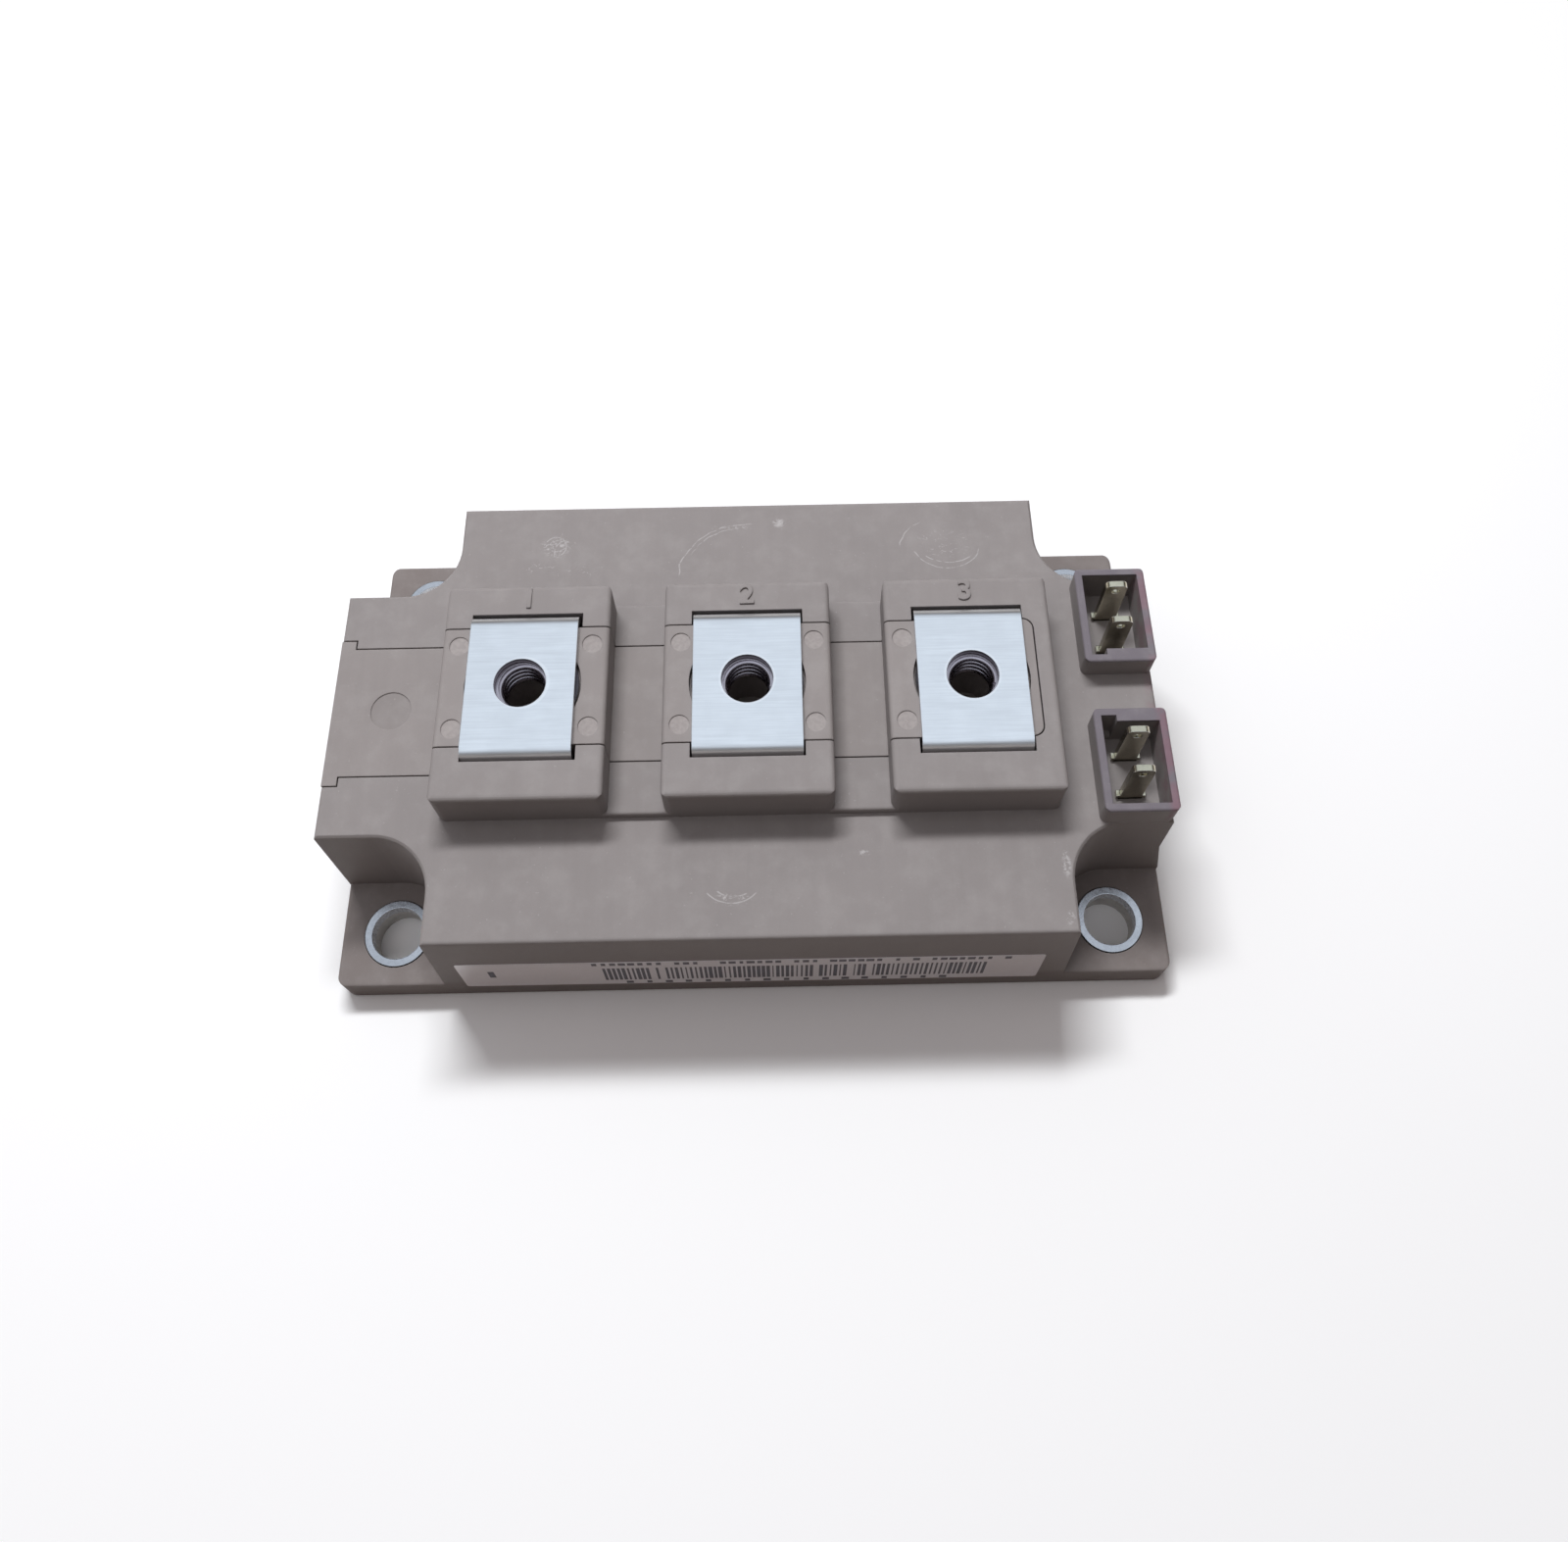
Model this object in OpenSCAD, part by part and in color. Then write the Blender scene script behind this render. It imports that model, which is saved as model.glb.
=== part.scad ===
// Half-bridge power module: a moulded case with four fixing ears, three M6 screw terminals
// and two shrouded pairs of tab terminals, closed below by a copper base plate.
// The origin is the centre of the base plate's underside. The screw terminals lie along X.

/* [Case] */
// Overall length of the case
case_l = 107.4; // [106:0.2:110]
// Overall width of the case at its foot
case_w = 61.6; // [60.6:0.2:64]
// Height of the deck above the base
deck_z = 22; // [21.5:0.1:23]
// Height of the fixing ears above the base
ear_z = 4.7; // [4.4:0.1:6]
// Wall thickness of the case
wall_t = 2.2; // [1.8:0.1:2.5]
// Thickness of the deck and of the floors of its recesses
deck_t = 2.4; // [2:0.1:2.6]
// Draft of the moulded walls in degrees
draft = 1.8; // [0.5:0.1:2.2]
// Radius of the ears' outer corners
ear_r = 1.8; // [1:0.1:3]
// Radius of the case's soft edges
edge_r = 0.5; // [0.3:0.1:0.8]
// How far the connector end stands back above its foot
setback = 1.4; // [1:0.1:2]
// Height at which the set-back end wall starts
setback_z = 13; // [11:0.5:15]

/* [Fixing holes] */
// Distance of the fixing holes from the case's ends
fix_end = 7.2; // [6.9:0.1:7.4]
// Distance of the fixing holes from the case's sides
fix_side = 6.8; // [6.6:0.1:7]
// Radius of the fixing holes
fix_r = 3.35; // [3.1:0.05:3.5]
// Wall thickness of the metal collars
collar_t = 0.9; // [0.7:0.1:1.1]
// How far the collars stand proud of the ears
collar_proud = 0.2; // [0.1:0.1:0.4]
// Radius of the screwdriver relief around each fixing hole, at the ear
relief_r = 6.75; // [6.4:0.05:6.9]

/* [Terminal blocks] */
// Distance between the screw terminals
term_pitch = 28; // [27:0.5:28.5]
// Length of each terminal block
block_l = 21.1; // [20:0.1:22]
// Reach of the blocks towards the front
block_front = 14.9; // [14:0.1:16]
// Reach of the blocks towards the rear
block_rear = 14.1; // [13.6:0.1:15]
// Radius of the blocks' upright corners
block_r = 1.1; // [0.8:0.1:2]
// Height of the web between the blocks, above the deck
web_h = 1.2; // [0.6:0.1:2]

/* [Screw terminals] */
// Height of the terminals' top faces above the base
term_z = 30; // [29:0.5:31]
// Thickness of the terminal strip
term_t = 0.9; // [0.8:0.1:1.1]
// Width of the terminal strip
term_w = 13.6; // [12.8:0.1:13.8]
// Distance over the outsides of a terminal's two legs
term_span = 19.4; // [19:0.1:20]
// Outer radius of the terminals' bends
bend_r = 1.8; // [1.5:0.1:2.2]
// Radius of the screw holes in the terminals
term_hole_r = 3.25; // [3.15:0.05:3.5]
// Clearance of the strip in its slots, per side
slot_gap = 0.25; // [0.2:0.05:0.35]
// Depth of the slot that takes each terminal's free end
slot_h = 6; // [5.5:0.1:6.5]

/* [Nut holder] */
// Width of the nut holder between the blocks' front and rear parts
lid_w = 15.8; // [15.4:0.1:16]
// Width of the nut holder's flat tail
tail_w = 17.6; // [17:0.1:18]
// Width of the stop at the end of the tail
stop_w = 20; // [19:0.1:20.4]
// Length of the stop
stop_l = 1.9; // [1.5:0.1:2]
// Reach of the nut holder past the last terminal
lid_reach = 8.2; // [7.8:0.1:8.3]
// Height of the nut holder's underside above the base
lid_z = 16; // [15.8:0.1:16.2]
// Clearance between the nut holder and the case, per side
lid_gap = 0.18; // [0.1:0.02:0.24]
// Radius of the marks that the ejector pins leave
mark_r = 1.25; // [1:0.05:1.4]
// Radius of the gate mark on the tail
gate_r = 2.6; // [2:0.1:3]
// Depth of both kinds of mark
mark_d = 0.12; // [0.08:0.02:0.2]
// Distance of the ejector marks from the blocks' ends
mark_in_x = 2.15; // [2:0.05:2.4]
// Distance of the ejector marks from the nut holder's sides
mark_in_y = 2.3; // [2:0.1:3]

/* [Nuts] */
// Width of the nuts across their flats
nut_af = 10; // [9.6:0.1:10.4]
// Height of the nuts with their flange
nut_h = 5; // [4.5:0.1:5.4]
// Radius of the nuts' flange
flange_r = 7; // [6.6:0.1:7.1]
// Thickness of the nuts' flange
flange_t = 0.9; // [0.7:0.1:1.2]
// Radius of the nuts' bore, over the thread's roots
nut_r = 3; // [2.5:0.05:3.1]
// Depth of the screw well below each nut
well_d = 7; // [6:0.1:7]

/* [Tab connectors] */
// Height of the shrouds' rims above the base
rim_z = 26; // [25:0.1:27]
// Length of the shrouds along the case
shroud_l = 9.2; // [8.8:0.1:10]
// Distance between the two shrouds
shroud_gap = 6.4; // [6:0.1:7]
// Thickness of the shrouds' side walls
shroud_t = 1; // [0.8:0.1:1.2]
// Thickness of the shrouds' inner end walls
sill_t = 1.8; // [1.6:0.1:1.9]
// Height of the wells' floor above the base
well_z = 20; // [19.6:0.1:20.4]
// How far a pair of tabs stands off the middle of its well, towards the middle of the case
tab_shift = 0.35; // [0.1:0.05:0.6]
// Distance between the tabs of one pair
tab_pitch = 5; // [4.95:0.05:5.2]
// Width of a tab
tab_w = 2.8; // [2.6:0.1:3]
// Thickness of a tab
tab_t = 0.8; // [0.5:0.1:0.8]
// Height of the tabs' tips above the base
tab_z = 29.5; // [28:0.5:30]
// Width over a tab's shoulders
shoulder_w = 3.7; // [3.4:0.1:4]

/* [Base plate] */
// Thickness of the base plate
plate_t = 3; // [2.8:0.1:3.1]
// How far the base plate's edge lies inside the case's
plate_inset = 1.3; // [1.1:0.1:1.5]
// Clearance between the base plate and the case, per side
plate_gap = 0.15; // [0.1:0.05:0.2]
// Height of the case's lower edge above the base plate's underside
foot_z = 0.4; // [0.2:0.1:0.6]
// Thickness of the adhesive bead between case and base plate
bead_t = 0.4; // [0.3:0.1:0.5]
// Width of the adhesive bead
bead_w = 1; // [0.8:0.1:1.1]

/* [Power circuit] */
// Distance between the ceramic substrates and the cavity's end walls
ceramic_end_gap = 1.55; // [1.2:0.05:2]
// Distance between the ceramic substrates and the cavity's side walls
ceramic_side_gap = 3.4; // [3:0.1:4]
// Distance between the two substrates
ceramic_gap = 2; // [1.6:0.1:2.4]
// Thickness of the ceramic
ceramic_t = 0.6; // [0.4:0.05:0.8]
// Thickness of the copper on both faces of the ceramic
copper_t = 0.3; // [0.2:0.05:0.4]
// Thickness of the chips
chip_t = 0.3; // [0.2:0.05:0.4]
// Distance of the chips from the ends of their copper track
chip_edge = 2; // [1.8:0.1:2.4]
// Distance between neighbouring switch chips
chip_gap = 1; // [0.8:0.1:1.4]
// How much smaller the diode chips are than the switch chips
diode_less = 1.5; // [1:0.1:2]
// Radius of the bond wires
wire_r = 0.2; // [0.15:0.05:0.25]
// Height of the bond wires' loops
loop_h = 2.2; // [1.6:0.1:2.4]
// Width of the flat leads
lead_w = 1.2; // [1:0.1:1.4]
// Thickness of the flat leads
lead_t = 0.5; // [0.4:0.05:0.6]
// Radius of the round posts at the leads' ends
post_r = 0.5; // [0.4:0.05:0.55]
// Heights at which the four leads run
lead_heights = [11.4, 10.1, 8.8, 7.5];
// Where each lead leaves its tab's line, out from the core's end
lead_leave_x = [4.45, 2.45, 0.45, -0.55];
// Where each lead leaves its tab's line, in from the cavity's front wall
lead_leave_y = [10.5, 6.5, 5.5, 1.3];
// Where each lead turns to its pad or lane, in from the core's end
lead_turn_x = [0.75, 1.05, 2.55, 3.55];
// Where the first two leads turn, in from the cavity's front wall
lead_turn_y = [0.7, 0];
// How far the first of the inner two leads' lanes runs in front of the pads
lane_in = 2.8; // [2.6:0.1:3]
// Distance between the two lanes
lane_gap = 1.6; // [1.5:0.1:1.7]
// How far the four leads' pads lie from the middle of their half
pad_steps = [2.5, 12, 14.5, 3.5];
// Height of the gel's surface above the base
gel_z = 12.6; // [12.4:0.1:12.8]

/* [Hidden] */
$fn = 48;

case_colour = "#9a9189";
metal_colour = "#c9d2dc";
plated_colour = "#b7b5ae";
copper_colour = "#b87348";

// A small overlap that keeps a cut from ending flush with a face.
eps = 0.05;

// Case
fix_dx = case_l - 2 * fix_end;
fix_dy = case_w - 2 * fix_side;
end_x = case_l / 2 - setback;
relief_top_r = relief_r + (deck_z - ear_z) * tan(draft);
flank_y = fix_dy / 2 - relief_top_r;
collar_r = fix_r + collar_t;
collar_gap = 0.12;

// Blocks and terminals
block_z = term_z - term_t;
web_z = deck_z + web_h;
blocks_x = term_pitch + block_l / 2;
slot_w = term_w + 2 * slot_gap;
leg_y = term_span / 2;
// The phase terminal lies against one side of its slot.
phase_shift = 0.05 - slot_gap;

// Nut holder
lid_end = term_pitch + lid_reach;
lid_r = 1.3;
channel_z = lid_z - lid_gap;
trough_z = channel_z - deck_t;
trough_y = leg_y + slot_gap + 1.1;
nut_gap = 0.1;
nut_top = block_z - 0.1;
nut_z = nut_top - nut_h;
nut_corner_r = nut_af / 2 / cos(30);
well_r = nut_r + 0.3;

// Connectors
shroud_x = end_x - shroud_l / 2;
shroud_y0 = shroud_gap / 2;
shroud_r = 0.9;
tab_mid_y = (shroud_y0 + sill_t + flank_y - shroud_t) / 2 - tab_shift;
key_w = 1.9;
key_d = 0.8;
shoulder_h = 0.8;
tab_foot_z = 13;

// Cavity
core_x = fix_dx / 2 - relief_r - wall_t;
core_y = case_w / 2 - deck_z * tan(draft) - wall_t;
end_y = flank_y - wall_t;
cavity_end_x = end_x - wall_t;
roof_z = deck_z - deck_t;
roof_end_z = well_z - deck_t;

// Power circuit
backing_z = plate_t;
ceramic_z = backing_z + copper_t;
circuit_z = ceramic_z + ceramic_t;
chip_z = circuit_z + copper_t;
chip_top = chip_z + chip_t;
ceramic_l = core_x - ceramic_end_gap - ceramic_gap / 2;
ceramic_w = 2 * (core_y - ceramic_side_gap);
half_x = (ceramic_l + ceramic_gap) / 2;
copper_inset = 1;
track_gap = 0.8;
track_x = ceramic_l / 2 - copper_inset;
emitter_w = 4.6;
emitter_y1 = ceramic_w / 2 - 3.1;
emitter_y0 = emitter_y1 - emitter_w;
pad_h = 4;
pad_y = 5 - ceramic_w / 2;
collector_y0 = pad_y + pad_h / 2 + 1.3;
bus_z = 8;
bar_w = 5;
slim_bar_w = 3;
slim_bar_x = -ceramic_gap / 2 - copper_inset - 0.6;
foot_l = 3.6;

// Chips stand in three columns on each half, and their wires keep inside the chips' edges.
igbt_s = (2 * track_x - 2 * chip_edge - 2 * chip_gap) / 3;
diode_s = igbt_s - diode_less;
column_pitch = igbt_s + chip_gap;
igbt_y = emitter_y0 - track_gap - 1.5 - igbt_s / 2;
diode_y = igbt_y - igbt_s / 2 - 3.25 - diode_s / 2;
wire_margin = 2;
wire_pitch = igbt_s / 2 - wire_margin;

// A rectangle with round corners, centred.
module round_rect(l, w, r) {
    square([l - 2 * r, w], center = true);
    square([l, w - 2 * r], center = true);
    for (x = [-1, 1], y = [-1, 1])
        translate([x * (l / 2 - r), y * (w / 2 - r)]) circle(r);
}

// An upright section of width l and height h whose two top corners are rounded by e.
module soft_section(l, h, e) {
    polygon(concat([[-l / 2, 0], [l / 2, 0]],
        arc(l / 2 - e, h - e, e, 0, 90), arc(-l / 2 + e, h - e, e, 90, 180)));
}

// A slab with round upright corners and a soft top edge, centred on the axis, standing on z = 0.
module soft_slab(l, w, h, corner, e) {
    intersection() {
        along_y(w + 1) soft_section(l, h, e);
        along_x(l + 1) soft_section(w, h, e);
        linear_extrude(h + 1) round_rect(l, w, corner);
    }
}

// A box given by its lowest and highest corners.
module span_box(a, b) {
    translate(a) cube(b - a);
}

// Points along a quarter circle or another arc.
function arc(x, y, r, a0, a1, n = 4) =
    [for (i = [0:n]) let(a = a0 + (a1 - a0) * i / n) [x + r * cos(a), y + r * sin(a)]];

// Extrudes a section drawn in X and Z along Y, and one drawn in Y and Z along X.
module along_y(w) { rotate([90, 0, 0]) linear_extrude(w, center = true) children(); }
module along_x(l) { rotate([90, 0, 90]) linear_extrude(l, center = true) children(); }

module at_fixings() {
    for (x = [-1, 1], y = [-1, 1]) translate([x * fix_dx / 2, y * fix_dy / 2]) children();
}

module at_terminals() {
    for (i = [-1:1]) translate([i * term_pitch, 0, 0]) children();
}

module at_shrouds() {
    for (m = [0, 1]) mirror([0, m, 0]) translate([shroud_x, 0, 0]) children();
}

// ---------------------------------------------------------------- case

// The case's section along its length. Its right end wall stands back above a sloping foot.
module length_section() {
    polygon(concat(
        [[-case_l / 2, 0], [case_l / 2, 0], [case_l / 2, ear_z + edge_r], [end_x, setback_z]],
        arc(end_x - edge_r, deck_z - edge_r, edge_r, 0, 90),
        arc(-case_l / 2 + edge_r, deck_z - edge_r, edge_r, 90, 180)));
}

// The case's section across its width, with drafted walls.
module width_section() {
    top_y = case_w / 2 - deck_z * tan(draft);
    polygon(concat(
        [[-case_w / 2, 0], [case_w / 2, 0]],
        arc(top_y - edge_r, deck_z - edge_r, edge_r, 0, 90),
        arc(-top_y + edge_r, deck_z - edge_r, edge_r, 90, 180)));
}

module drafted_body() {
    intersection() {
        along_y(case_w + 1) length_section();
        along_x(case_l + 1) width_section();
    }
}

// What is cut away above one ear: a flared round about the fixing hole and straight walls beyond.
module corner_relief() {
    far = 20;
    section = [
        [0, 0], [relief_r - ear_z * tan(draft), 0],
        [relief_top_r - 0.3 * tan(draft), deck_z - 0.3], [relief_top_r + 0.3, deck_z],
        [relief_top_r + 0.3, deck_z + 1], [0, deck_z + 1]
    ];
    beyond = [for (p = section) p[0] == 0 ? [far, p[1]] : [-p[0], p[1]]];
    rotate_extrude() polygon(section);
    translate([0, far / 2, 0]) along_y(far) polygon(beyond);
    translate([far / 2, 0, 0]) along_x(far) polygon(beyond);
}

module body_shape() {
    difference() {
        drafted_body();
        for (x = [0, 1], y = [0, 1])
            mirror([x, 0, 0]) mirror([0, y, 0]) translate([fix_dx / 2, fix_dy / 2, 0]) corner_relief();
    }
    intersection() {
        soft_slab(case_l, case_w, ear_z, ear_r, edge_r);
        drafted_body();
    }
}

module terminal_blocks() {
    block_w = block_front + block_rear;
    block_y = (block_rear - block_front) / 2;
    at_terminals() translate([0, block_y, deck_z - 1])
        soft_slab(block_l, block_w, block_z - deck_z + 1, block_r, 0.7);
    translate([0, block_y, deck_z - 1]) along_x(2 * blocks_x - block_l)
        soft_section(block_w, web_z - deck_z + 1, 0.4);
}

module shroud_walls() {
    shroud_w = flank_y - shroud_y0;
    at_shrouds() translate([0, shroud_y0 + shroud_w / 2, deck_z - 1])
        soft_slab(shroud_l, shroud_w, rim_z - deck_z + 1, shroud_r, 0.35);
}

// The wells in the shrouds, each with a keyway in its sill, and the slots for the tabs.
module shroud_wells() {
    well_x = shroud_l / 2 - shroud_t;
    sill_y = shroud_y0 + sill_t;
    at_shrouds() {
        span_box([-well_x, sill_y, well_z], [well_x, flank_y - shroud_t, rim_z + 1]);
        span_box([-well_x, sill_y - key_d, well_z + 1], [key_w - well_x, sill_y + eps, rim_z + 1]);
        for (y = [tab_mid_y - tab_pitch / 2, tab_mid_y + tab_pitch / 2])
            span_box([-tab_w / 2 - 0.1, y - tab_t / 2 - 0.1, roof_end_z - 1],
                [tab_w / 2 + 0.1, y + tab_t / 2 + 0.1, well_z + eps]);
    }
}

// The plan of the channel for the nut holder, grown by a clearance.
module lid_plan(gap) {
    w = lid_w + 2 * gap;
    end = lid_end + gap;
    r = lid_r + gap;
    tail_end = gap - blocks_x;
    translate([-blocks_x - 1, -w / 2]) square([end + blocks_x + 1 - r, w]);
    translate([end - r - eps, r - w / 2]) square([r + eps, w - 2 * r]);
    for (y = [-1, 1]) translate([end - r, y * (w / 2 - r)]) circle(r);
    translate([-case_l / 2 - gap, -tail_w / 2 - gap]) square([tail_end + case_l / 2, tail_w + 2 * gap]);
    translate([-case_l / 2 - gap, -stop_w / 2 - gap]) square([stop_l + 2 * gap, stop_w + 2 * gap]);
}

module terminal_slots() {
    inner_y = lid_w / 2;
    outer_y = leg_y + slot_gap;
    at_terminals() {
        span_box([-slot_w / 2, inner_y, block_z - slot_h], [slot_w / 2, outer_y, block_z + 1]);
        span_box([-slot_w / 2, -outer_y, block_z - slot_h], [slot_w / 2, -inner_y, block_z + 1]);
    }
}

// The narrow slot through the channel's wall and the cavity's roof for a terminal's long leg.
module leg_slot() {
    span_box([-slot_w / 2, leg_y - term_t - 0.1, trough_z - 1],
        [slot_w / 2, leg_y + 0.1, block_z - slot_h + eps]);
}

// The plan of the cavity, grown by g: a wide middle and two narrower ends.
module cavity_plan(g) {
    square([2 * (core_x + g), 2 * (core_y + g)], center = true);
    square([2 * (cavity_end_x + g), 2 * (end_y + g)], center = true);
}

module cavity() {
    difference() {
        translate([0, 0, -1]) linear_extrude(roof_z + 1) cavity_plan(0);
        span_box([-case_l, -trough_y, trough_z], [lid_end + wall_t, trough_y, deck_z]);
        span_box([core_x + 3, -case_w, roof_end_z], [case_l, case_w, deck_z]);
    }
}

module plate_plan(gap) {
    round_rect(case_l - 2 * plate_inset + 2 * gap, case_w - 2 * plate_inset + 2 * gap, 2 + gap);
}

module bead_plan() {
    difference() {
        cavity_plan(0.3 + bead_w);
        cavity_plan(0.3);
    }
}

module housing() {
    color(case_colour) difference() {
        union() {
            body_shape();
            terminal_blocks();
            shroud_walls();
        }
        translate([0, 0, -1]) linear_extrude(foot_z + 1) square([2 * case_l, 2 * case_w], center = true);
        translate([0, 0, -1]) linear_extrude(plate_t + 1) plate_plan(plate_gap);
        translate([0, 0, plate_t - eps]) linear_extrude(bead_t + eps) bead_plan();
        cavity();
        translate([0, 0, channel_z]) linear_extrude(term_z) lid_plan(lid_gap);
        terminal_slots();
        for (i = [-1, 1]) translate([i * term_pitch, 0, 0]) mirror([0, 1, 0]) leg_slot();
        leg_slot();
        shroud_wells();
        at_fixings() cylinder(h = 3 * ear_z, r = collar_r + collar_gap, center = true);
    }
}

// ---------------------------------------------------------------- nut holder

// The nut holder's section along its length: it follows the tail, the blocks and the web.
module lid_section() {
    e = 0.7;
    humps = [for (i = [-1:1], side = [-1, 1])
        let(x = i * term_pitch + side * block_l / 2)
        each side < 0
            ? concat([[x, i < 0 ? deck_z : web_z]], arc(x + e, block_z - e, e, 180, 90))
            : concat(arc(x - e, block_z - e, e, 90, 0), [[x, web_z]])];
    intersection() {
        polygon(concat([[-case_l / 2, lid_z], [-case_l / 2, deck_z]], humps, [[blocks_x, lid_z]]));
        translate([-case_l / 2, 0]) square([case_l / 2 + lid_end, term_z]);
    }
}

module lid() {
    color(case_colour) difference() {
        intersection() {
            along_y(stop_w + 1) lid_section();
            linear_extrude(term_z) lid_plan(0);
        }
        at_terminals() {
            translate([0, 0, nut_z]) cylinder(h = nut_h + 1, r = nut_corner_r + nut_gap, $fn = 6);
            translate([0, 0, nut_top - flange_t - nut_gap]) cylinder(h = 3, r = flange_r + 0.3);
            translate([0, 0, nut_z - well_d]) cylinder(h = well_d + eps, r = well_r);
        }
        for (i = [-1:1], x = [-1, 1], y = [-1, 1])
            if (i + x < 2)
                translate([
                    i * term_pitch + x * (block_l / 2 - mark_in_x), y * (lid_w / 2 - mark_in_y), block_z - mark_d
                ]) cylinder(h = 1, r = mark_r);
        translate([-(case_l / 2 + blocks_x) / 2, 0, deck_z - mark_d]) cylinder(h = 1, r = gate_r);
    }
}

// ---------------------------------------------------------------- screw terminals and nuts

// The bent strip in section across the case: its long leg ends at long_z, its free end in the slot.
module strip_section(long_z) {
    free_z = block_z - slot_h + 0.6;
    difference() {
        union() {
            translate([-leg_y, long_z]) square([term_span, term_z - bend_r - long_z]);
            translate([-leg_y + bend_r, long_z]) square([term_span - 2 * bend_r, term_z - long_z]);
            for (s = [-1, 1]) translate([s * (leg_y - bend_r), term_z - bend_r]) circle(bend_r);
        }
        translate([-leg_y + term_t, long_z - 1]) square([term_span - 2 * term_t, term_z - bend_r - long_z + 1]);
        translate([-leg_y + bend_r, long_z - 1]) square([term_span - 2 * bend_r, term_z - term_t - long_z + 1]);
        for (s = [-1, 1]) translate([s * (leg_y - bend_r), term_z - bend_r]) circle(bend_r - term_t);
        translate([0, long_z - 1]) square([term_span, free_z - long_z + 1]);
    }
}

// A terminal with its long leg at the front, and a bar of bar_w below it from x = bar_x on.
module terminal(bar_x) {
    waist_z = roof_z;
    color(metal_colour) {
        difference() {
            along_x(term_w) strip_section(waist_z);
            translate([0, 0, block_z - 1]) cylinder(h = 2 * term_t + 1, r = term_hole_r);
        }
        span_box([bar_x, -leg_y, chip_z], [bar_x + 2 * bar_w, -leg_y + term_t, waist_z + eps]);
        span_box([bar_x, -leg_y - foot_l, chip_z], [bar_x + 2 * bar_w, -leg_y + eps, chip_z + term_t]);
    }
}

// The negative terminal's long leg is at the rear: its bar steps over the chips to the emitter track.
module stepped_terminal() {
    waist_z = roof_z;
    x0 = slim_bar_x - slim_bar_w;
    x1 = slim_bar_x;
    reach = emitter_y0 + 1;
    color(metal_colour) {
        mirror([0, 1, 0]) difference() {
            along_x(term_w) strip_section(waist_z);
            translate([0, 0, block_z - 1]) cylinder(h = 2 * term_t + 1, r = term_hole_r);
        }
        span_box([x0, leg_y - term_t, bus_z], [x1, leg_y, waist_z + eps]);
        span_box([x0, leg_y - eps, bus_z], [x1, reach + term_t, bus_z + term_t]);
        span_box([x0, reach, chip_z], [x1, reach + term_t, bus_z + eps]);
        span_box([x0, reach, chip_z], [x1, reach + 3, chip_z + term_t]);
    }
}

module terminal_phase() { translate([phase_shift - term_pitch, 0, 0]) terminal(-bar_w); }
module terminal_positive() { translate([term_pitch, 0, 0]) terminal(-bar_w); }
module terminal_negative() { stepped_terminal(); }

module nut(i) {
    color(plated_colour) translate([i * term_pitch, 0, nut_z]) difference() {
        union() {
            cylinder(h = nut_h, r = nut_corner_r, $fn = 6);
            translate([0, 0, nut_h - flange_t]) cylinder(h = flange_t, r = flange_r);
        }
        translate([0, 0, -1]) cylinder(h = nut_h + 2, r = nut_r);
    }
}

// ---------------------------------------------------------------- collars and tabs

// Collars are numbered from the front left corner, anticlockwise seen from above.
module collar(n) {
    side = [[-1, -1], [1, -1], [1, 1], [-1, 1]][n - 1];
    color(metal_colour) translate([side[0] * fix_dx / 2, side[1] * fix_dy / 2, plate_t]) difference() {
        cylinder(h = ear_z + collar_proud - plate_t, r = collar_r);
        translate([0, 0, -1]) cylinder(h = 2 * ear_z, r = fix_r);
    }
}

// Tabs are numbered from the rear to the front.
function tab_y(n) = (n < 3 ? 1 : -1) * (tab_mid_y + (n == 1 || n == 4 ? 1 : -1) * tab_pitch / 2);

module tab(n) {
    tip_r = 0.8;
    color(plated_colour) translate([shroud_x, tab_y(n), 0]) along_y(tab_t) difference() {
        union() {
            translate([-tab_w / 2, tab_foot_z]) square([tab_w, tab_z - tip_r - tab_foot_z]);
            translate([-tab_w / 2 + tip_r, tab_foot_z]) square([tab_w - 2 * tip_r, tab_z - tab_foot_z]);
            for (s = [-1, 1]) translate([s * (tab_w / 2 - tip_r), tab_z - tip_r]) circle(tip_r);
            translate([-shoulder_w / 2, well_z]) square([shoulder_w, shoulder_h]);
        }
        translate([0, tab_z - 1.4]) circle(0.55);
    }
}

// ---------------------------------------------------------------- base and power circuit

module base_plate() {
    color(plated_colour) difference() {
        linear_extrude(plate_t) plate_plan(0);
        at_fixings() translate([0, 0, -1]) cylinder(h = plate_t + 2, r = fix_r);
    }
}

module case_seal() {
    color("#e8e6df") translate([0, 0, plate_t]) linear_extrude(bead_t) bead_plan();
}

// side is -1 for the left half of the circuit and 1 for the right half.
module at_half(side) { translate([side * half_x, 0, 0]) children(); }

module at_columns() { for (i = [-1:1]) translate([i * column_pitch, 0, 0]) children(); }

module backing(side) {
    color(copper_colour) at_half(side) translate([0, 0, backing_z])
        linear_extrude(copper_t) square([ceramic_l - 2 * copper_inset, ceramic_w - 2 * copper_inset], center = true);
}

module ceramic(side) {
    color("#ece9e2") at_half(side) translate([0, 0, ceramic_z])
        linear_extrude(ceramic_t) square([ceramic_l, ceramic_w], center = true);
}

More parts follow.
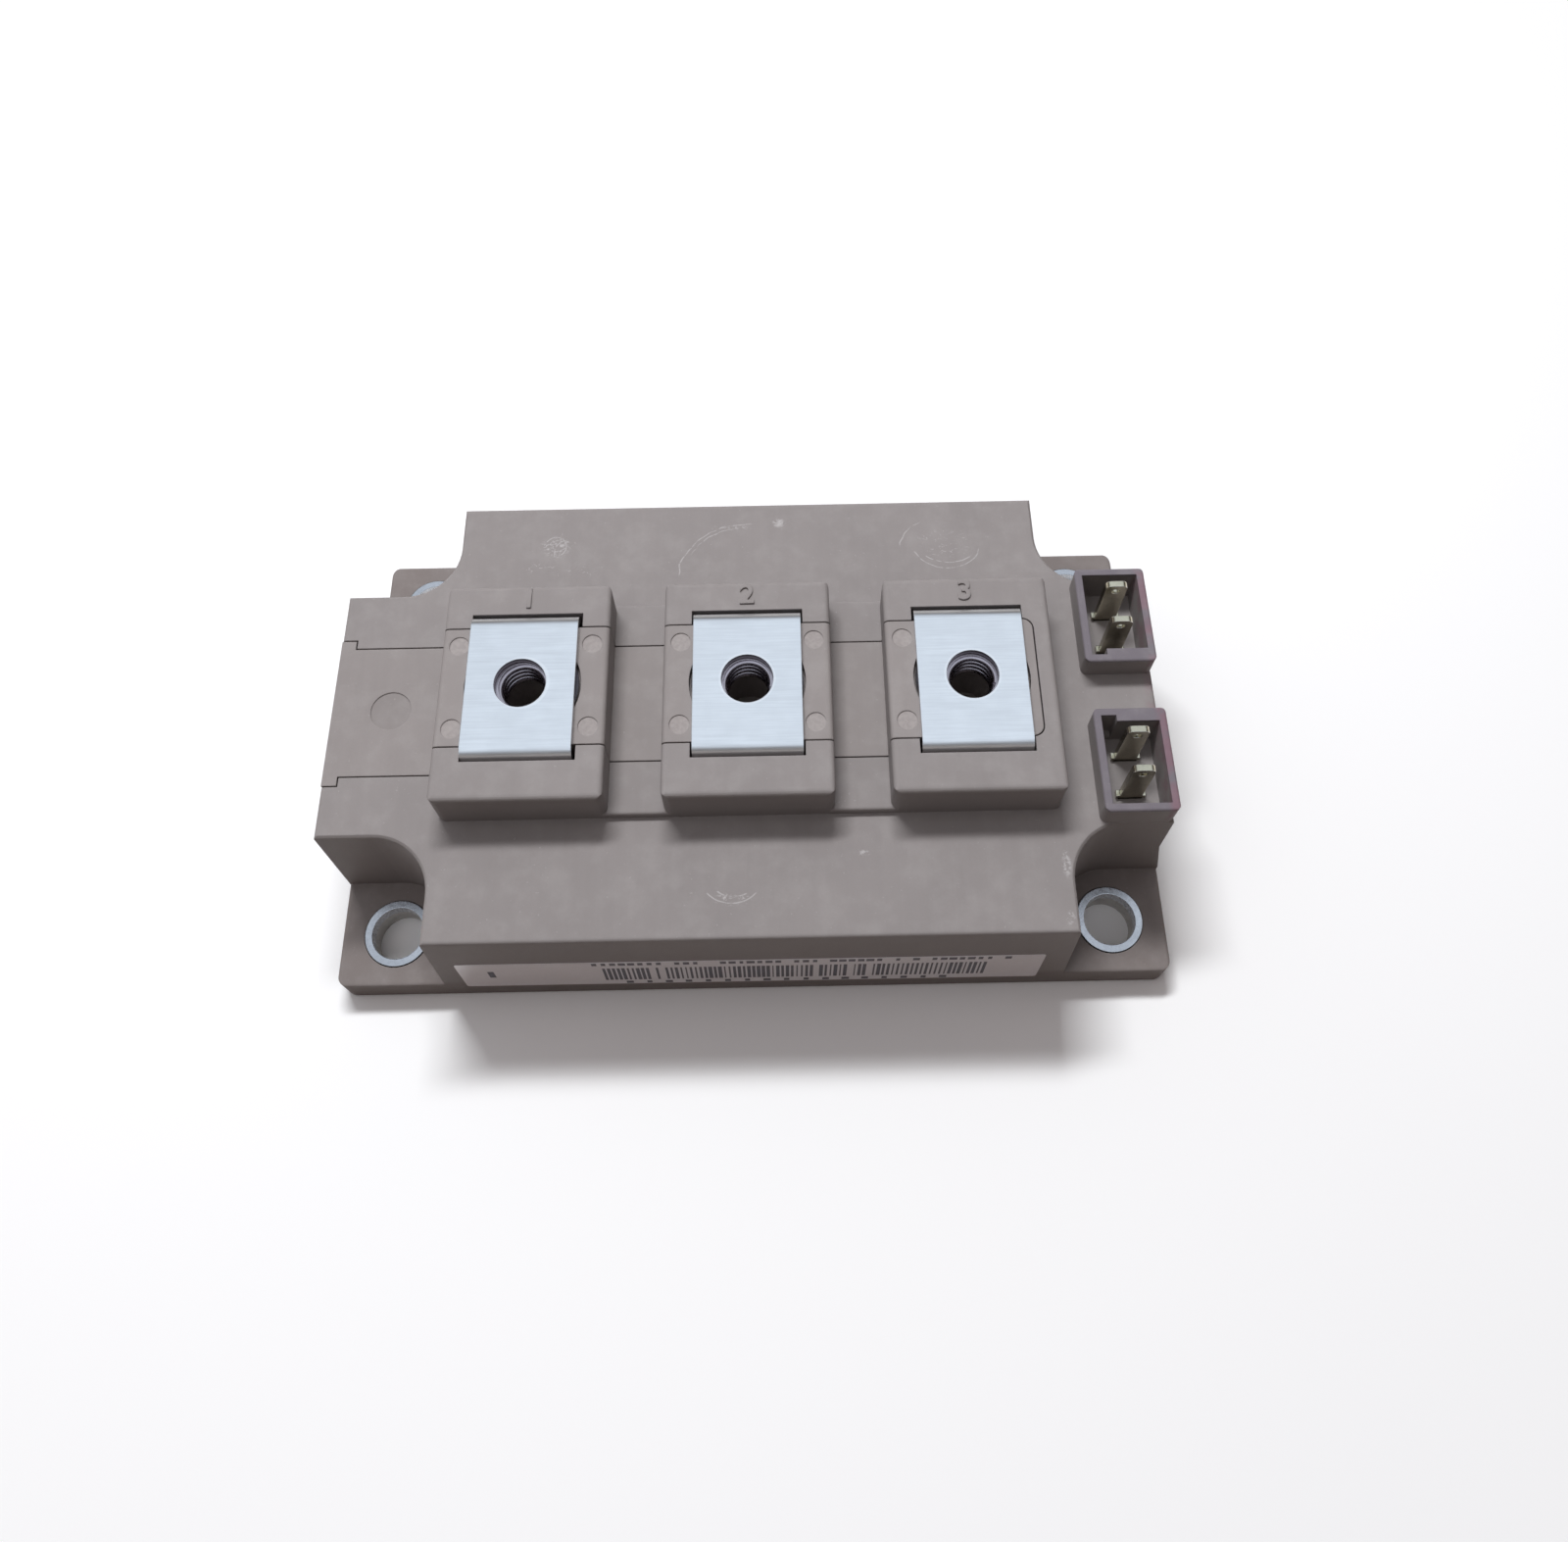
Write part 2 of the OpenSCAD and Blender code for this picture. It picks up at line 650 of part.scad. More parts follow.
// The copper tracks: a collector field, an emitter track behind it and two signal pads in front.
module circuit(side) {
    color(copper_colour) at_half(side) translate([0, 0, circuit_z]) linear_extrude(copper_t) {
        translate([-track_x, collector_y0]) square([2 * track_x, emitter_y0 - track_gap - collector_y0]);
        translate([-track_x, emitter_y0]) square([2 * track_x, emitter_y1 - emitter_y0]);
        for (s = [-1, 1])
            translate([s * (track_x + track_gap / 2) / 2, pad_y])
                square([track_x - track_gap / 2, pad_h], center = true);
    }
}

module chips(side, s, y) {
    at_half(side) at_columns() translate([-s / 2, y - s / 2, chip_z]) cube([s, s, chip_t]);
}

module igbt_chips(side) { color("#6d6f78") chips(side, igbt_s, igbt_y); }
module diode_chips(side) { color("#7d7f86") chips(side, diode_s, diode_y); }

// A wire that rises from z0 at y0 in a round loop and lands at y1 on z1.
module bond_wire(y0, z0, y1, z1) {
    half = (y1 - y0) / 2;
    loop_r = (half * half + loop_h * loop_h) / (2 * loop_h);
    middle = (y0 + y1) / 2;
    intersection() {
        translate([0, middle, z0 + loop_h - loop_r]) rotate([0, 90, 0])
            rotate_extrude() translate([loop_r, 0]) circle(wire_r, $fn = 24);
        union() {
            span_box([-1, y0 - 2, z0], [1, middle, z0 + 2 * loop_h]);
            span_box([-1, middle, z1], [1, y1 + 2, z0 + 2 * loop_h]);
        }
    }
}

// Each column's wires run from the diode to the switch chip, and on to the emitter track.
module bond_wires(side) {
    color("#d9dbde") at_half(side) at_columns() for (i = [-1:1]) translate([i * wire_pitch, 0, 0]) {
        bond_wire(diode_y, chip_top, igbt_y - igbt_s / 2 + wire_margin, chip_top);
        bond_wire(igbt_y + igbt_s / 2 - wire_margin, chip_top, emitter_y0 + wire_margin, chip_z);
    }
}

// The strap that joins the right half's emitter track to the left half's collector field.
module bridge() {
    strap_t = 0.8;
    strap_w = 2;
    x0 = ceramic_gap / 2 + copper_inset + 0.2;
    y_front = collector_y0 + 4;
    color(copper_colour) {
        span_box([x0, emitter_y0 + 0.6, chip_z], [x0 + strap_w, emitter_y0 + 0.6 + strap_t, bus_z + strap_t]);
        span_box([x0, y_front, bus_z], [x0 + strap_w, emitter_y0 + 1, bus_z + strap_t]);
        span_box([-x0 - strap_w, y_front, bus_z], [x0 + strap_w, y_front + strap_w, bus_z + strap_t]);
        span_box([-x0 - strap_w, y_front, chip_z], [-x0 - strap_w + strap_t, y_front + strap_w, bus_z + eps]);
    }
}

// The plan routes of the leads, from below each tab round the cavity's front right corner to
// its signal pad.
pad_x = [half_x - pad_steps[0], half_x + pad_steps[1], pad_steps[2] - half_x, -half_x - pad_steps[3]];
lane_y = [pad_y - lane_in, pad_y - lane_in - lane_gap];
lead_routes = [
    for (i = [0:3])
        let (
            leave = [core_x + lead_leave_x[i], lead_leave_y[i] - end_y],
            pad = [pad_x[i], pad_y]
        )
        i < 2
            ? [leave, [core_x - lead_turn_x[i], lead_turn_y[i] - end_y], pad]
            : [leave, [core_x - lead_turn_x[i], lane_y[i - 2]], [pad_x[i], lane_y[i - 2]], pad]
];

// A flat strip along a route in the plan, with its corners rounded.
module strip(route, w) {
    for (i = [1:len(route) - 1]) {
        d = route[i] - route[i - 1];
        translate(route[i - 1]) rotate(atan2(d[1], d[0])) translate([0, -w / 2]) square([norm(d), w]);
    }
    for (p = route) translate(p) circle(w / 2 + eps);
}

// Each lead runs flat at its own height between a post below the tab and a post on the pad.
module lead(n) {
    z = lead_heights[n - 1];
    start = [shroud_x, tab_y(n)];
    route = concat([start], lead_routes[n - 1]);
    last = route[len(route) - 1];
    color("#d8d2c4") {
        translate([0, 0, z]) linear_extrude(lead_t) strip(route, lead_w);
        translate([start[0], start[1], z]) cylinder(h = tab_foot_z - z, r = post_r);
        translate([last[0], last[1], chip_z]) cylinder(h = z + lead_t - chip_z, r = post_r);
    }
}

// The gel fills the cavity from the base plate to gel_z around all that stands in it.
module silicone_gel() {
    color("#e4e0d5", 0.4) difference() {
        translate([0, 0, plate_t]) linear_extrude(gel_z - plate_t) cavity_plan(0);
        for (side = [-1, 1]) {
            backing(side);
            ceramic(side);
            circuit(side);
            igbt_chips(side);
            diode_chips(side);
            bond_wires(side);
        }
        terminal_phase();
        terminal_negative();
        terminal_positive();
        bridge();
        for (n = [1:4]) lead(n);
    }
}

housing();
lid();
base_plate();
case_seal();
terminal_phase();
terminal_negative();
terminal_positive();
nut(-1);  // nut_phase
nut(0);  // nut_negative
nut(1);  // nut_positive
collar(1);  // collar_1
collar(2);  // collar_2
collar(3);  // collar_3
collar(4);  // collar_4
tab(1);  // tab_1
tab(2);  // tab_2
tab(3);  // tab_3
tab(4);  // tab_4
backing(-1);  // backing_left
backing(1);  // backing_right
ceramic(-1);  // ceramic_left
ceramic(1);  // ceramic_right
circuit(-1);  // circuit_left
circuit(1);  // circuit_right
igbt_chips(-1);  // igbt_chips_left
igbt_chips(1);  // igbt_chips_right
diode_chips(-1);  // diode_chips_left
diode_chips(1);  // diode_chips_right
bond_wires(-1);  // bond_wires_left
bond_wires(1);  // bond_wires_right
bridge();
lead(1);  // lead_1
lead(2);  // lead_2
lead(3);  // lead_3
lead(4);  // lead_4
silicone_gel();
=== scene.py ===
# Looks for a half-bridge power module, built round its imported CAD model.
#
# The file is laid out as an add-on: property groups hold the sizes and colours, each
# piece or group of like pieces has an operator, and main() calls them in order.
# Lengths are in metres, in the CAD model's own frame: X runs along the screw terminals
# towards the tab connectors, Y to the rear and Z up from the base plate.

import math

import bmesh
import bpy
from bpy.props import FloatProperty, FloatVectorProperty, IntProperty, PointerProperty
from bpy.types import Operator, Panel, PropertyGroup
from mathutils import Euler, Matrix, Vector


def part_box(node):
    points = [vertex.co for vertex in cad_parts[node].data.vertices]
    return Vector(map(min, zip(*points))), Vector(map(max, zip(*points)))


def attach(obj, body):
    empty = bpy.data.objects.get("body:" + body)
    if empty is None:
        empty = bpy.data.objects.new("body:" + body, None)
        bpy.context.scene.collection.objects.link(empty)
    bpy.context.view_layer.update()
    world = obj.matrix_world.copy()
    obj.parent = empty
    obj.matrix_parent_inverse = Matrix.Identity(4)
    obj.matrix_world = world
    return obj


bl_info = {
    "name": "Power Module Looks",
    "version": (1, 0, 0),
    "blender": (4, 5, 0),
    "location": "3D View > Sidebar > Power Module",
    "description": "Finishes, threads, numerals and label of a half-bridge power module",
    "category": "Object",
}

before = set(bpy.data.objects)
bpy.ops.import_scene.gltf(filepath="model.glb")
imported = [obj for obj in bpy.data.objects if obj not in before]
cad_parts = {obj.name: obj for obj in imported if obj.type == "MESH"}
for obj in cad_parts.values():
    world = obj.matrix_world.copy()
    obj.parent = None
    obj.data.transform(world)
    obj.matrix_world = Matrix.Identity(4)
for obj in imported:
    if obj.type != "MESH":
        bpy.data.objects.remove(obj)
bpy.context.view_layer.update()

MM = 0.001
ROOT = "root"
TERMINALS = ("terminal_phase", "terminal_negative", "terminal_positive")
NUTS = ("nut_phase", "nut_negative", "nut_positive")
COLLARS = ("collar_1", "collar_2", "collar_3", "collar_4")
TABS = ("tab_1", "tab_2", "tab_3", "tab_4")


# ---------------------------------------------------------------- places from the frame


def box(node):
    """Lowest and highest corner of a CAD node, as vectors."""
    low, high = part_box(node)
    return Vector(low), Vector(high)


def middle(node):
    low, high = box(node)
    return (low + high) / 2


TERMINAL_PITCH = middle("nut_positive").x - middle("nut_negative").x
BLOCK_TOP = box("lid")[1].z
TERMINAL_TOP = box("terminal_negative")[1].z
WALL_FOOT_Y = box("housing")[0].y
DRAFT = math.radians(1.8)


# ---------------------------------------------------------------- properties


def length(name, description, default, low=0.0, high=0.2):
    return FloatProperty(
        name=name, description=description, default=default, min=low, max=high,
        unit="LENGTH", subtype="DISTANCE", precision=5,
    )


def share(name, description, default):
    return FloatProperty(
        name=name, description=description, default=default, min=0.0, max=1.0, subtype="FACTOR",
    )


def colour(name, description, default):
    return FloatVectorProperty(
        name=name, description=description, default=default, size=3, min=0.0, max=1.0, subtype="COLOR",
    )


class ModuleFinish(PropertyGroup):
    """Colours and wear of the surfaces."""

    case_colour: colour("Case", "Colour of the moulded case", (0.268, 0.245, 0.240))
    holder_colour: colour("Nut holder", "Colour of the nut holder", (0.276, 0.250, 0.243))
    scuff_colour: colour("Scuffs", "Colour of the chalky scuffs", (0.52, 0.50, 0.50))
    terminal_colour: colour("Terminals", "Colour of the plated terminals", (0.90, 0.92, 0.94))
    nut_colour: colour("Nuts", "Colour of the plated nuts", (0.50, 0.46, 0.50))
    collar_colour: colour("Collars", "Colour of the steel collars", (0.56, 0.57, 0.60))
    tab_colour: colour("Tabs", "Colour of the tinned tabs", (0.62, 0.58, 0.45))
    plate_colour: colour("Base plate", "Colour of the plated base", (0.60, 0.58, 0.55))
    # This share also paints a highlight along the case's edges.
    edge_wear: share("Edge wear", "How pale the case's edges have worn", 0.30)
    scuffing: share("Scuffing", "Strength of the scuffs on the deck", 0.62)
    grain: share("Grain", "Strength of the moulded grain", 0.45)


class ModuleDetails(PropertyGroup):
    """Sizes of the pieces that are not in the CAD model."""

    thread_pitch: length("Thread pitch", "Distance between the nuts' threads", 1.0 * MM, 0.5 * MM, 2 * MM)
    thread_depth: length("Thread depth", "Height of the thread's ridge", 0.48 * MM, 0.1 * MM, 1 * MM)
    numeral_height: length("Numerals", "Height of the raised numerals", 2.7 * MM, 1 * MM, 4 * MM)
    numeral_relief: length("Relief", "How far the numerals stand out", 0.24 * MM, 0.02 * MM, 0.5 * MM)
    label_length: length("Label length", "Length of the label on the front", 73.2 * MM, 10 * MM, 78 * MM)
    label_height: length("Label height", "Height of the label on the front", 9.6 * MM, 2 * MM, 14 * MM)
    label_bars: IntProperty(
        name="Label bars", description="Number of bars printed on the label", default=82, min=1, max=200,
    )


class ModuleStage(PropertyGroup):
    """Floor, lights and camera."""

    floor_colour: colour("Floor", "Colour of the floor", (0.95, 0.95, 0.95))
    bounce_colour: colour("Bounce", "Light that the floor throws back", (0.20, 0.132, 0.100))
    key_power: FloatProperty(
        name="Key lamp", description="Power of the key lamp in watts", default=2.75, min=0.0, max=50.0, unit="POWER",
    )
    fill_power: FloatProperty(
        name="Fill lamp", description="Power of the fill lamp in watts", default=0.30, min=0.0, max=50.0, unit="POWER",
    )
    sky_level: share("Sky", "Level of the brightest part of the sky", 0.50)
    lens: FloatProperty(name="Lens", description="Focal length in millimetres", default=33.044, min=10, max=200)


# ---------------------------------------------------------------- shader helpers


class Nodes:
    """A thin wrapper that adds nodes to a tree and links their sockets."""

    def __init__(self, tree):
        self.tree = tree

    def add(self, kind, **settings):
        node = self.tree.nodes.new(kind)
        for name, value in settings.items():
            setattr(node, name, value)
        return node

    def link(self, source, target):
        self.tree.links.new(source, target)

    def put(self, socket, value):
        """Links the socket to another one, or sets its number."""
        if isinstance(value, bpy.types.NodeSocket):
            self.link(value, socket)
        elif value is not None:
            socket.default_value = value

    def maths(self, operation, a, b=None, c=None, clamp=False):
        node = self.add("ShaderNodeMath", operation=operation, use_clamp=clamp)
        for socket, value in zip(node.inputs, (a, b, c)):
            self.put(socket, value)
        return node.outputs[0]

    def vector(self, operation, a, b=None):
        node = self.add("ShaderNodeVectorMath", operation=operation)
        self.put(node.inputs[0], a)
        if b is not None:
            self.put(node.inputs[1], b)
        return node.outputs["Value"] if operation in ("LENGTH", "DISTANCE", "DOT_PRODUCT") else node.outputs[0]

    def ramp(self, value, low, high, to_low=0.0, to_high=1.0, smooth=True):
        node = self.add("ShaderNodeMapRange")
        node.interpolation_type = "SMOOTHSTEP" if smooth else "LINEAR"
        for name, number in (
            ("Value", value), ("From Min", low), ("From Max", high), ("To Min", to_low), ("To Max", to_high)
        ):
            self.put(node.inputs[name], number)
        return node.outputs["Result"]

    def noise(self, vector, scale, detail=2.0, roughness=0.5, distortion=0.0):
        node = self.add("ShaderNodeTexNoise")
        for name, value in (
            ("Vector", vector), ("Scale", scale), ("Detail", detail),
            ("Roughness", roughness), ("Distortion", distortion),
        ):
            self.put(node.inputs[name], value)
        return node.outputs["Fac"]

    def mix(self, factor, a, b, blend="MIX"):
        node = self.add("ShaderNodeMix", data_type="RGBA", blend_type=blend)
        self.put(node.inputs[0], factor)
        self.put(node.inputs[6], with_alpha(a))
        self.put(node.inputs[7], with_alpha(b))
        return node.outputs[2]

    def scaled(self, vector, factors):
        return self.vector("MULTIPLY", vector, factors)

    def group(self, name, **inputs):
        node = self.add("ShaderNodeGroup", node_tree=bpy.data.node_groups[name])
        for key, value in inputs.items():
            self.put(node.inputs[key.replace("_", " ")], value)
        return node


def with_alpha(value):
    if isinstance(value, (tuple, list)) or hasattr(value, "__len__") and len(value) == 3:
        return (*value, 1.0)
    return value


def new_group(name, inputs, outputs):
    """A shader node group with named sockets. Returns its tree wrapper and its two end nodes."""
    tree = bpy.data.node_groups.new(name, "ShaderNodeTree")
    for socket, kind, default in inputs:
        made = tree.interface.new_socket(name=socket, in_out="INPUT", socket_type=kind)
        if default is not None:
            made.default_value = default
    for socket, kind in outputs:
        tree.interface.new_socket(name=socket, in_out="OUTPUT", socket_type=kind)
    nodes = Nodes(tree)
    return nodes, nodes.add("NodeGroupInput"), nodes.add("NodeGroupOutput")


def grain_group():
    """Fine moulded grain and broad, faint clouding."""
    n, start, end = new_group(
        "Moulded grain",
        [("Vector", "NodeSocketVector", None), ("Grain size", "NodeSocketFloat", 0.16 * MM)],
        [("Height", "NodeSocketFloat"), ("Tone", "NodeSocketFloat")],
    )
    scale = n.maths("DIVIDE", 1.0, start.outputs["Grain size"])
    fine = n.noise(start.outputs["Vector"], scale, detail=3.0, roughness=0.6)
    broad = n.noise(start.outputs["Vector"], 90.0, detail=3.0, roughness=0.55)
    streak = n.noise(n.scaled(start.outputs["Vector"], (900.0, 60.0, 300.0)), 1.0, detail=2.0)
    n.link(fine, end.inputs["Height"])
    tone = n.maths("ADD", n.maths("MULTIPLY", broad, 0.7), n.maths("MULTIPLY", streak, 0.3))
    n.link(tone, end.inputs["Tone"])


def edge_group():
    """A mask of edges for painted highlights and wear, broken up by noise, and a normal that softens the edges."""
    n, start, end = new_group(
        "Highlit and worn edges",
        [("Vector", "NodeSocketVector", None), ("Width", "NodeSocketFloat", 0.25 * MM),
         ("Breakup", "NodeSocketFloat", 0.6)],
        [("Mask", "NodeSocketFloat"), ("Normal", "NodeSocketVector")],
    )
    bevel = n.add("ShaderNodeBevel", samples=6)
    n.link(start.outputs["Width"], bevel.inputs["Radius"])
    geometry = n.add("ShaderNodeNewGeometry")
    facing = n.vector("DOT_PRODUCT", bevel.outputs["Normal"], geometry.outputs["Normal"])
    edge = n.ramp(facing, 0.985, 0.80)
    spots = n.noise(start.outputs["Vector"], 1500.0, detail=3.0, roughness=0.65)
    broken = n.ramp(spots, 0.40, 0.62)
    kept = n.maths("SUBTRACT", 1.0, n.maths("MULTIPLY", start.outputs["Breakup"], n.maths("SUBTRACT", 1.0, broken)))
    n.link(n.maths("MULTIPLY", edge, kept), end.inputs["Mask"])
    n.link(bevel.outputs["Normal"], end.inputs["Normal"])


def scuff_group():
    """An oval patch of fine chalky scuffs."""
    n, start, end = new_group(
        "Scuff patch",
        [("Vector", "NodeSocketVector", None), ("Centre", "NodeSocketVector", (0, 0, 0)),
         ("Reach", "NodeSocketVector", (0.003, 0.003, 0.003)), ("Density", "NodeSocketFloat", 0.5)],
        [("Mask", "NodeSocketFloat")],
    )
    local = n.vector("DIVIDE", n.vector("SUBTRACT", start.outputs["Vector"], start.outputs["Centre"]),
                     start.outputs["Reach"])
    wobble = n.noise(start.outputs["Vector"], 420.0, detail=2.0)
    distance = n.maths("ADD", n.vector("LENGTH", local), n.maths("MULTIPLY", n.maths("SUBTRACT", wobble, 0.5), 0.5))
    flecks = n.noise(n.scaled(start.outputs["Vector"], (1.0, 1.5, 1.0)), 1500.0, detail=4.0, roughness=0.7,
                     distortion=0.8)
    threshold = n.maths("SUBTRACT", 0.76, n.maths("MULTIPLY", start.outputs["Density"], 0.32))
    marks = n.ramp(n.maths("SUBTRACT", flecks, threshold), -0.02, 0.10)
    n.link(n.maths("MULTIPLY", n.ramp(distance, 1.0, 0.4), marks), end.inputs["Mask"])


def arc_group():
    """A thin scratch along part of an oval."""
    n, start, end = new_group(
        "Curved scratch",
        [("Vector", "NodeSocketVector", None), ("Centre", "NodeSocketVector", (0, 0, 0)),
         ("Reach", "NodeSocketVector", (0.003, 0.003, 0.003)), ("Facing", "NodeSocketVector", (1, 0, 0)),
         ("Limit", "NodeSocketFloat", 0.0), ("Width", "NodeSocketFloat", 0.03)],
        [("Mask", "NodeSocketFloat")],
    )
    local = n.vector("DIVIDE", n.vector("SUBTRACT", start.outputs["Vector"], start.outputs["Centre"]),
                     start.outputs["Reach"])
    wobble = n.maths("MULTIPLY", n.maths("SUBTRACT", n.noise(start.outputs["Vector"], 260.0), 0.5), 0.22)
    distance = n.maths("ABSOLUTE", n.maths("SUBTRACT", n.maths("ADD", n.vector("LENGTH", local), wobble), 1.0))
    line = n.ramp(distance, start.outputs["Width"], 0.0)
    facing = n.vector("DOT_PRODUCT", n.vector("NORMALIZE", local), start.outputs["Facing"])
    sector = n.ramp(n.maths("SUBTRACT", facing, start.outputs["Limit"]), -0.02, 0.08)
    broken = n.ramp(n.noise(start.outputs["Vector"], 800.0, detail=4.0, roughness=0.7), 0.36, 0.54)
    n.link(n.maths("MULTIPLY", n.maths("MULTIPLY", line, sector), broken), end.inputs["Mask"])


def brush_group():
    """Fine parallel brushing for plated metal, along the direction that Stretch leaves long."""
    n, start, end = new_group(
        "Brushed lines",
        [("Vector", "NodeSocketVector", None), ("Stretch", "NodeSocketVector", (60.0, 5000.0, 5000.0))],
        [("Lines", "NodeSocketFloat"), ("Tone", "NodeSocketFloat")],
    )
    stretched = n.vector("MULTIPLY", start.outputs["Vector"], start.outputs["Stretch"])
    lines = n.noise(stretched, 1.0, detail=4.0, roughness=0.6)
    tone = n.noise(start.outputs["Vector"], 260.0, detail=3.0)
    n.link(lines, end.inputs["Lines"])
    n.link(tone, end.inputs["Tone"])


def dust_group():
    """Dust that settles on upward faces, in a broken film with single specks."""
    n, start, end = new_group(
        "Settled dust",
        [("Vector", "NodeSocketVector", None), ("Amount", "NodeSocketFloat", 0.2)],
        [("Mask", "NodeSocketFloat")],
    )
    geometry = n.add("ShaderNodeNewGeometry")
    parts = n.add("ShaderNodeSeparateXYZ")
    n.link(geometry.outputs["Normal"], parts.inputs[0])
    upward = n.ramp(parts.outputs["Z"], 0.6, 0.98)
    film = n.ramp(n.noise(start.outputs["Vector"], 300.0, detail=5.0, roughness=0.6), 0.42, 0.75)
    specks = n.ramp(n.noise(start.outputs["Vector"], 2300.0, detail=1.0), 0.74, 0.80)
    dusty = n.maths("ADD", n.maths("MULTIPLY", film, 0.5), specks, clamp=True)
    n.link(n.maths("MULTIPLY", n.maths("MULTIPLY", upward, dusty), start.outputs["Amount"]), end.inputs["Mask"])


def build_groups():
    for build in (grain_group, edge_group, scuff_group, arc_group, brush_group, dust_group):
        build()


def new_material(name):
    """A material with an empty Principled shader. Returns it, its tree wrapper, the shader and Object coordinates."""
    made = bpy.data.materials.new(name)
    made.use_nodes = True
    made.node_tree.nodes.clear()
    n = Nodes(made.node_tree)
    shader = n.add("ShaderNodeBsdfPrincipled")
    out = n.add("ShaderNodeOutputMaterial")
    n.link(shader.outputs[0], out.inputs[0])
    return made, n, shader, n.add("ShaderNodeTexCoord").outputs["Object"]


def finish_node(name, made):
    """Gives a CAD node this material in all its slots."""
    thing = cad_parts[name]
    if not thing.material_slots:
        raise RuntimeError(f"CAD node {name} has no material slot")
    for slot in thing.material_slots:
        slot.material = made


def place_piece(thing):
    """Links a finished piece and lets it ride on the module."""
    bpy.context.scene.collection.objects.link(thing)
    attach(thing, ROOT)


# ---------------------------------------------------------------- moulded plastic

# Rubbed patches on the deck: middle and reach in millimetres, and density.
SCUFF_PATCHES = (
    ((-26.4, 23.8), (2.5, 2.1), 0.80),
    ((-28.8, 20.6), (3.4, 1.0), 0.52),
    ((-21.5, 20.2), (3.6, 1.2), 0.50),
    ((-2.6, 26.4), (3.4, 0.7), 0.60),
    ((4.3, 27.0), (1.1, 0.8), 0.95),
    ((26.8, 23.2), (5.2, 3.6), 0.52),
    ((13.0, 21.5), (3.2, 2.4), 0.34),
    ((-2.2, -25.3), (2.8, 1.0), 0.66),
    ((13.9, -20.0), (0.9, 0.6), 0.90),
    ((38.4, -21.8), (0.7, 2.0), 0.90),
    ((38.2, -28.4), (0.7, 1.0), 0.80),
)

# Curved scratches on the deck: middle and reach of the oval, and the two angles between which
# the scratch follows it.
SCUFF_ARCS = (
    ((-0.2, 18.4), (9.3, 8.5), 85, 178),
    ((-0.2, 18.1), (8.8, 8.3), 100, 150),
    ((27.0, 23.6), (4.7, 4.2), 200, 345),
    ((27.2, 23.2), (4.0, 2.9), 215, 320),
    ((27.2, 22.4), (6.4, 5.0), 120, 175),
    ((-26.4, 23.9), (1.5, 1.5), -60, 150),
    ((-25.2, 22.9), (1.3, 1.9), 60, 200),
    ((-2.2, -23.5), (3.4, 2.3), 205, 335),
    ((-2.0, -23.9), (2.1, 1.1), 200, 320),
)

def deck_scuffs(n, vector, strength):
    """All rubbed patches and curved scratches of the deck as one mask."""
    deck = 22 * MM
    masks = [
        n.group(
            "Scuff patch", Vector=vector, Centre=(x * MM, y * MM, deck), Reach=(a * MM, b * MM, 2 * MM),
            Density=density,
        ).outputs["Mask"]
        for (x, y), (a, b), density in SCUFF_PATCHES
    ]
    for (x, y), (a, b), start, end in SCUFF_ARCS:
        middle_angle, half = math.radians((start + end) / 2), math.radians((end - start) / 2)
        masks.append(n.group(
            "Curved scratch", Vector=vector, Centre=(x * MM, y * MM, deck), Reach=(a * MM, b * MM, 4 * MM),
            Facing=(math.cos(middle_angle), math.sin(middle_angle), 0), Limit=math.cos(half), Width=0.11 / b,
        ).outputs["Mask"])
    total = masks[0]
    for mask in masks[1:]:
        total = n.maths("MAXIMUM", total, mask)
    return n.maths("MULTIPLY", total, strength)


def pin_marks(n, vector):
    """Discs left by ejector pins on the nut holder's blocks, and by the gate on its tail."""
    parts = n.add("ShaderNodeSeparateXYZ")
    n.link(vector, parts.inputs[0])
    x, y, z = parts.outputs
    turns = n.maths("DIVIDE", x, TERMINAL_PITCH)
    offset = n.maths("MULTIPLY", n.maths("SUBTRACT", turns, n.maths("ROUND", turns)), TERMINAL_PITCH)
    across = n.maths("SUBTRACT", n.maths("ABSOLUTE", offset), 8.4 * MM)
    along = n.maths("SUBTRACT", n.maths("ABSOLUTE", y), 5.6 * MM)
    reach = n.maths("SQRT", n.maths("ADD", n.maths("MULTIPLY", across, across), n.maths("MULTIPLY", along, along)))
    high = n.maths("GREATER_THAN", z, BLOCK_TOP - 0.2 * MM)
    inside = n.maths("LESS_THAN", x, TERMINAL_PITCH + 2 * MM)
    pins = n.maths("MULTIPLY", n.maths("MULTIPLY", n.ramp(reach, 1.30 * MM, 1.18 * MM), high), inside)
    gate_x = n.maths("ADD", x, 46.1 * MM)
    gate_reach = n.maths("SQRT", n.maths("ADD", n.maths("MULTIPLY", gate_x, gate_x), n.maths("MULTIPLY", y, y)))
    gate = n.ramp(gate_reach, 2.65 * MM, 2.5 * MM)
    return pins, gate


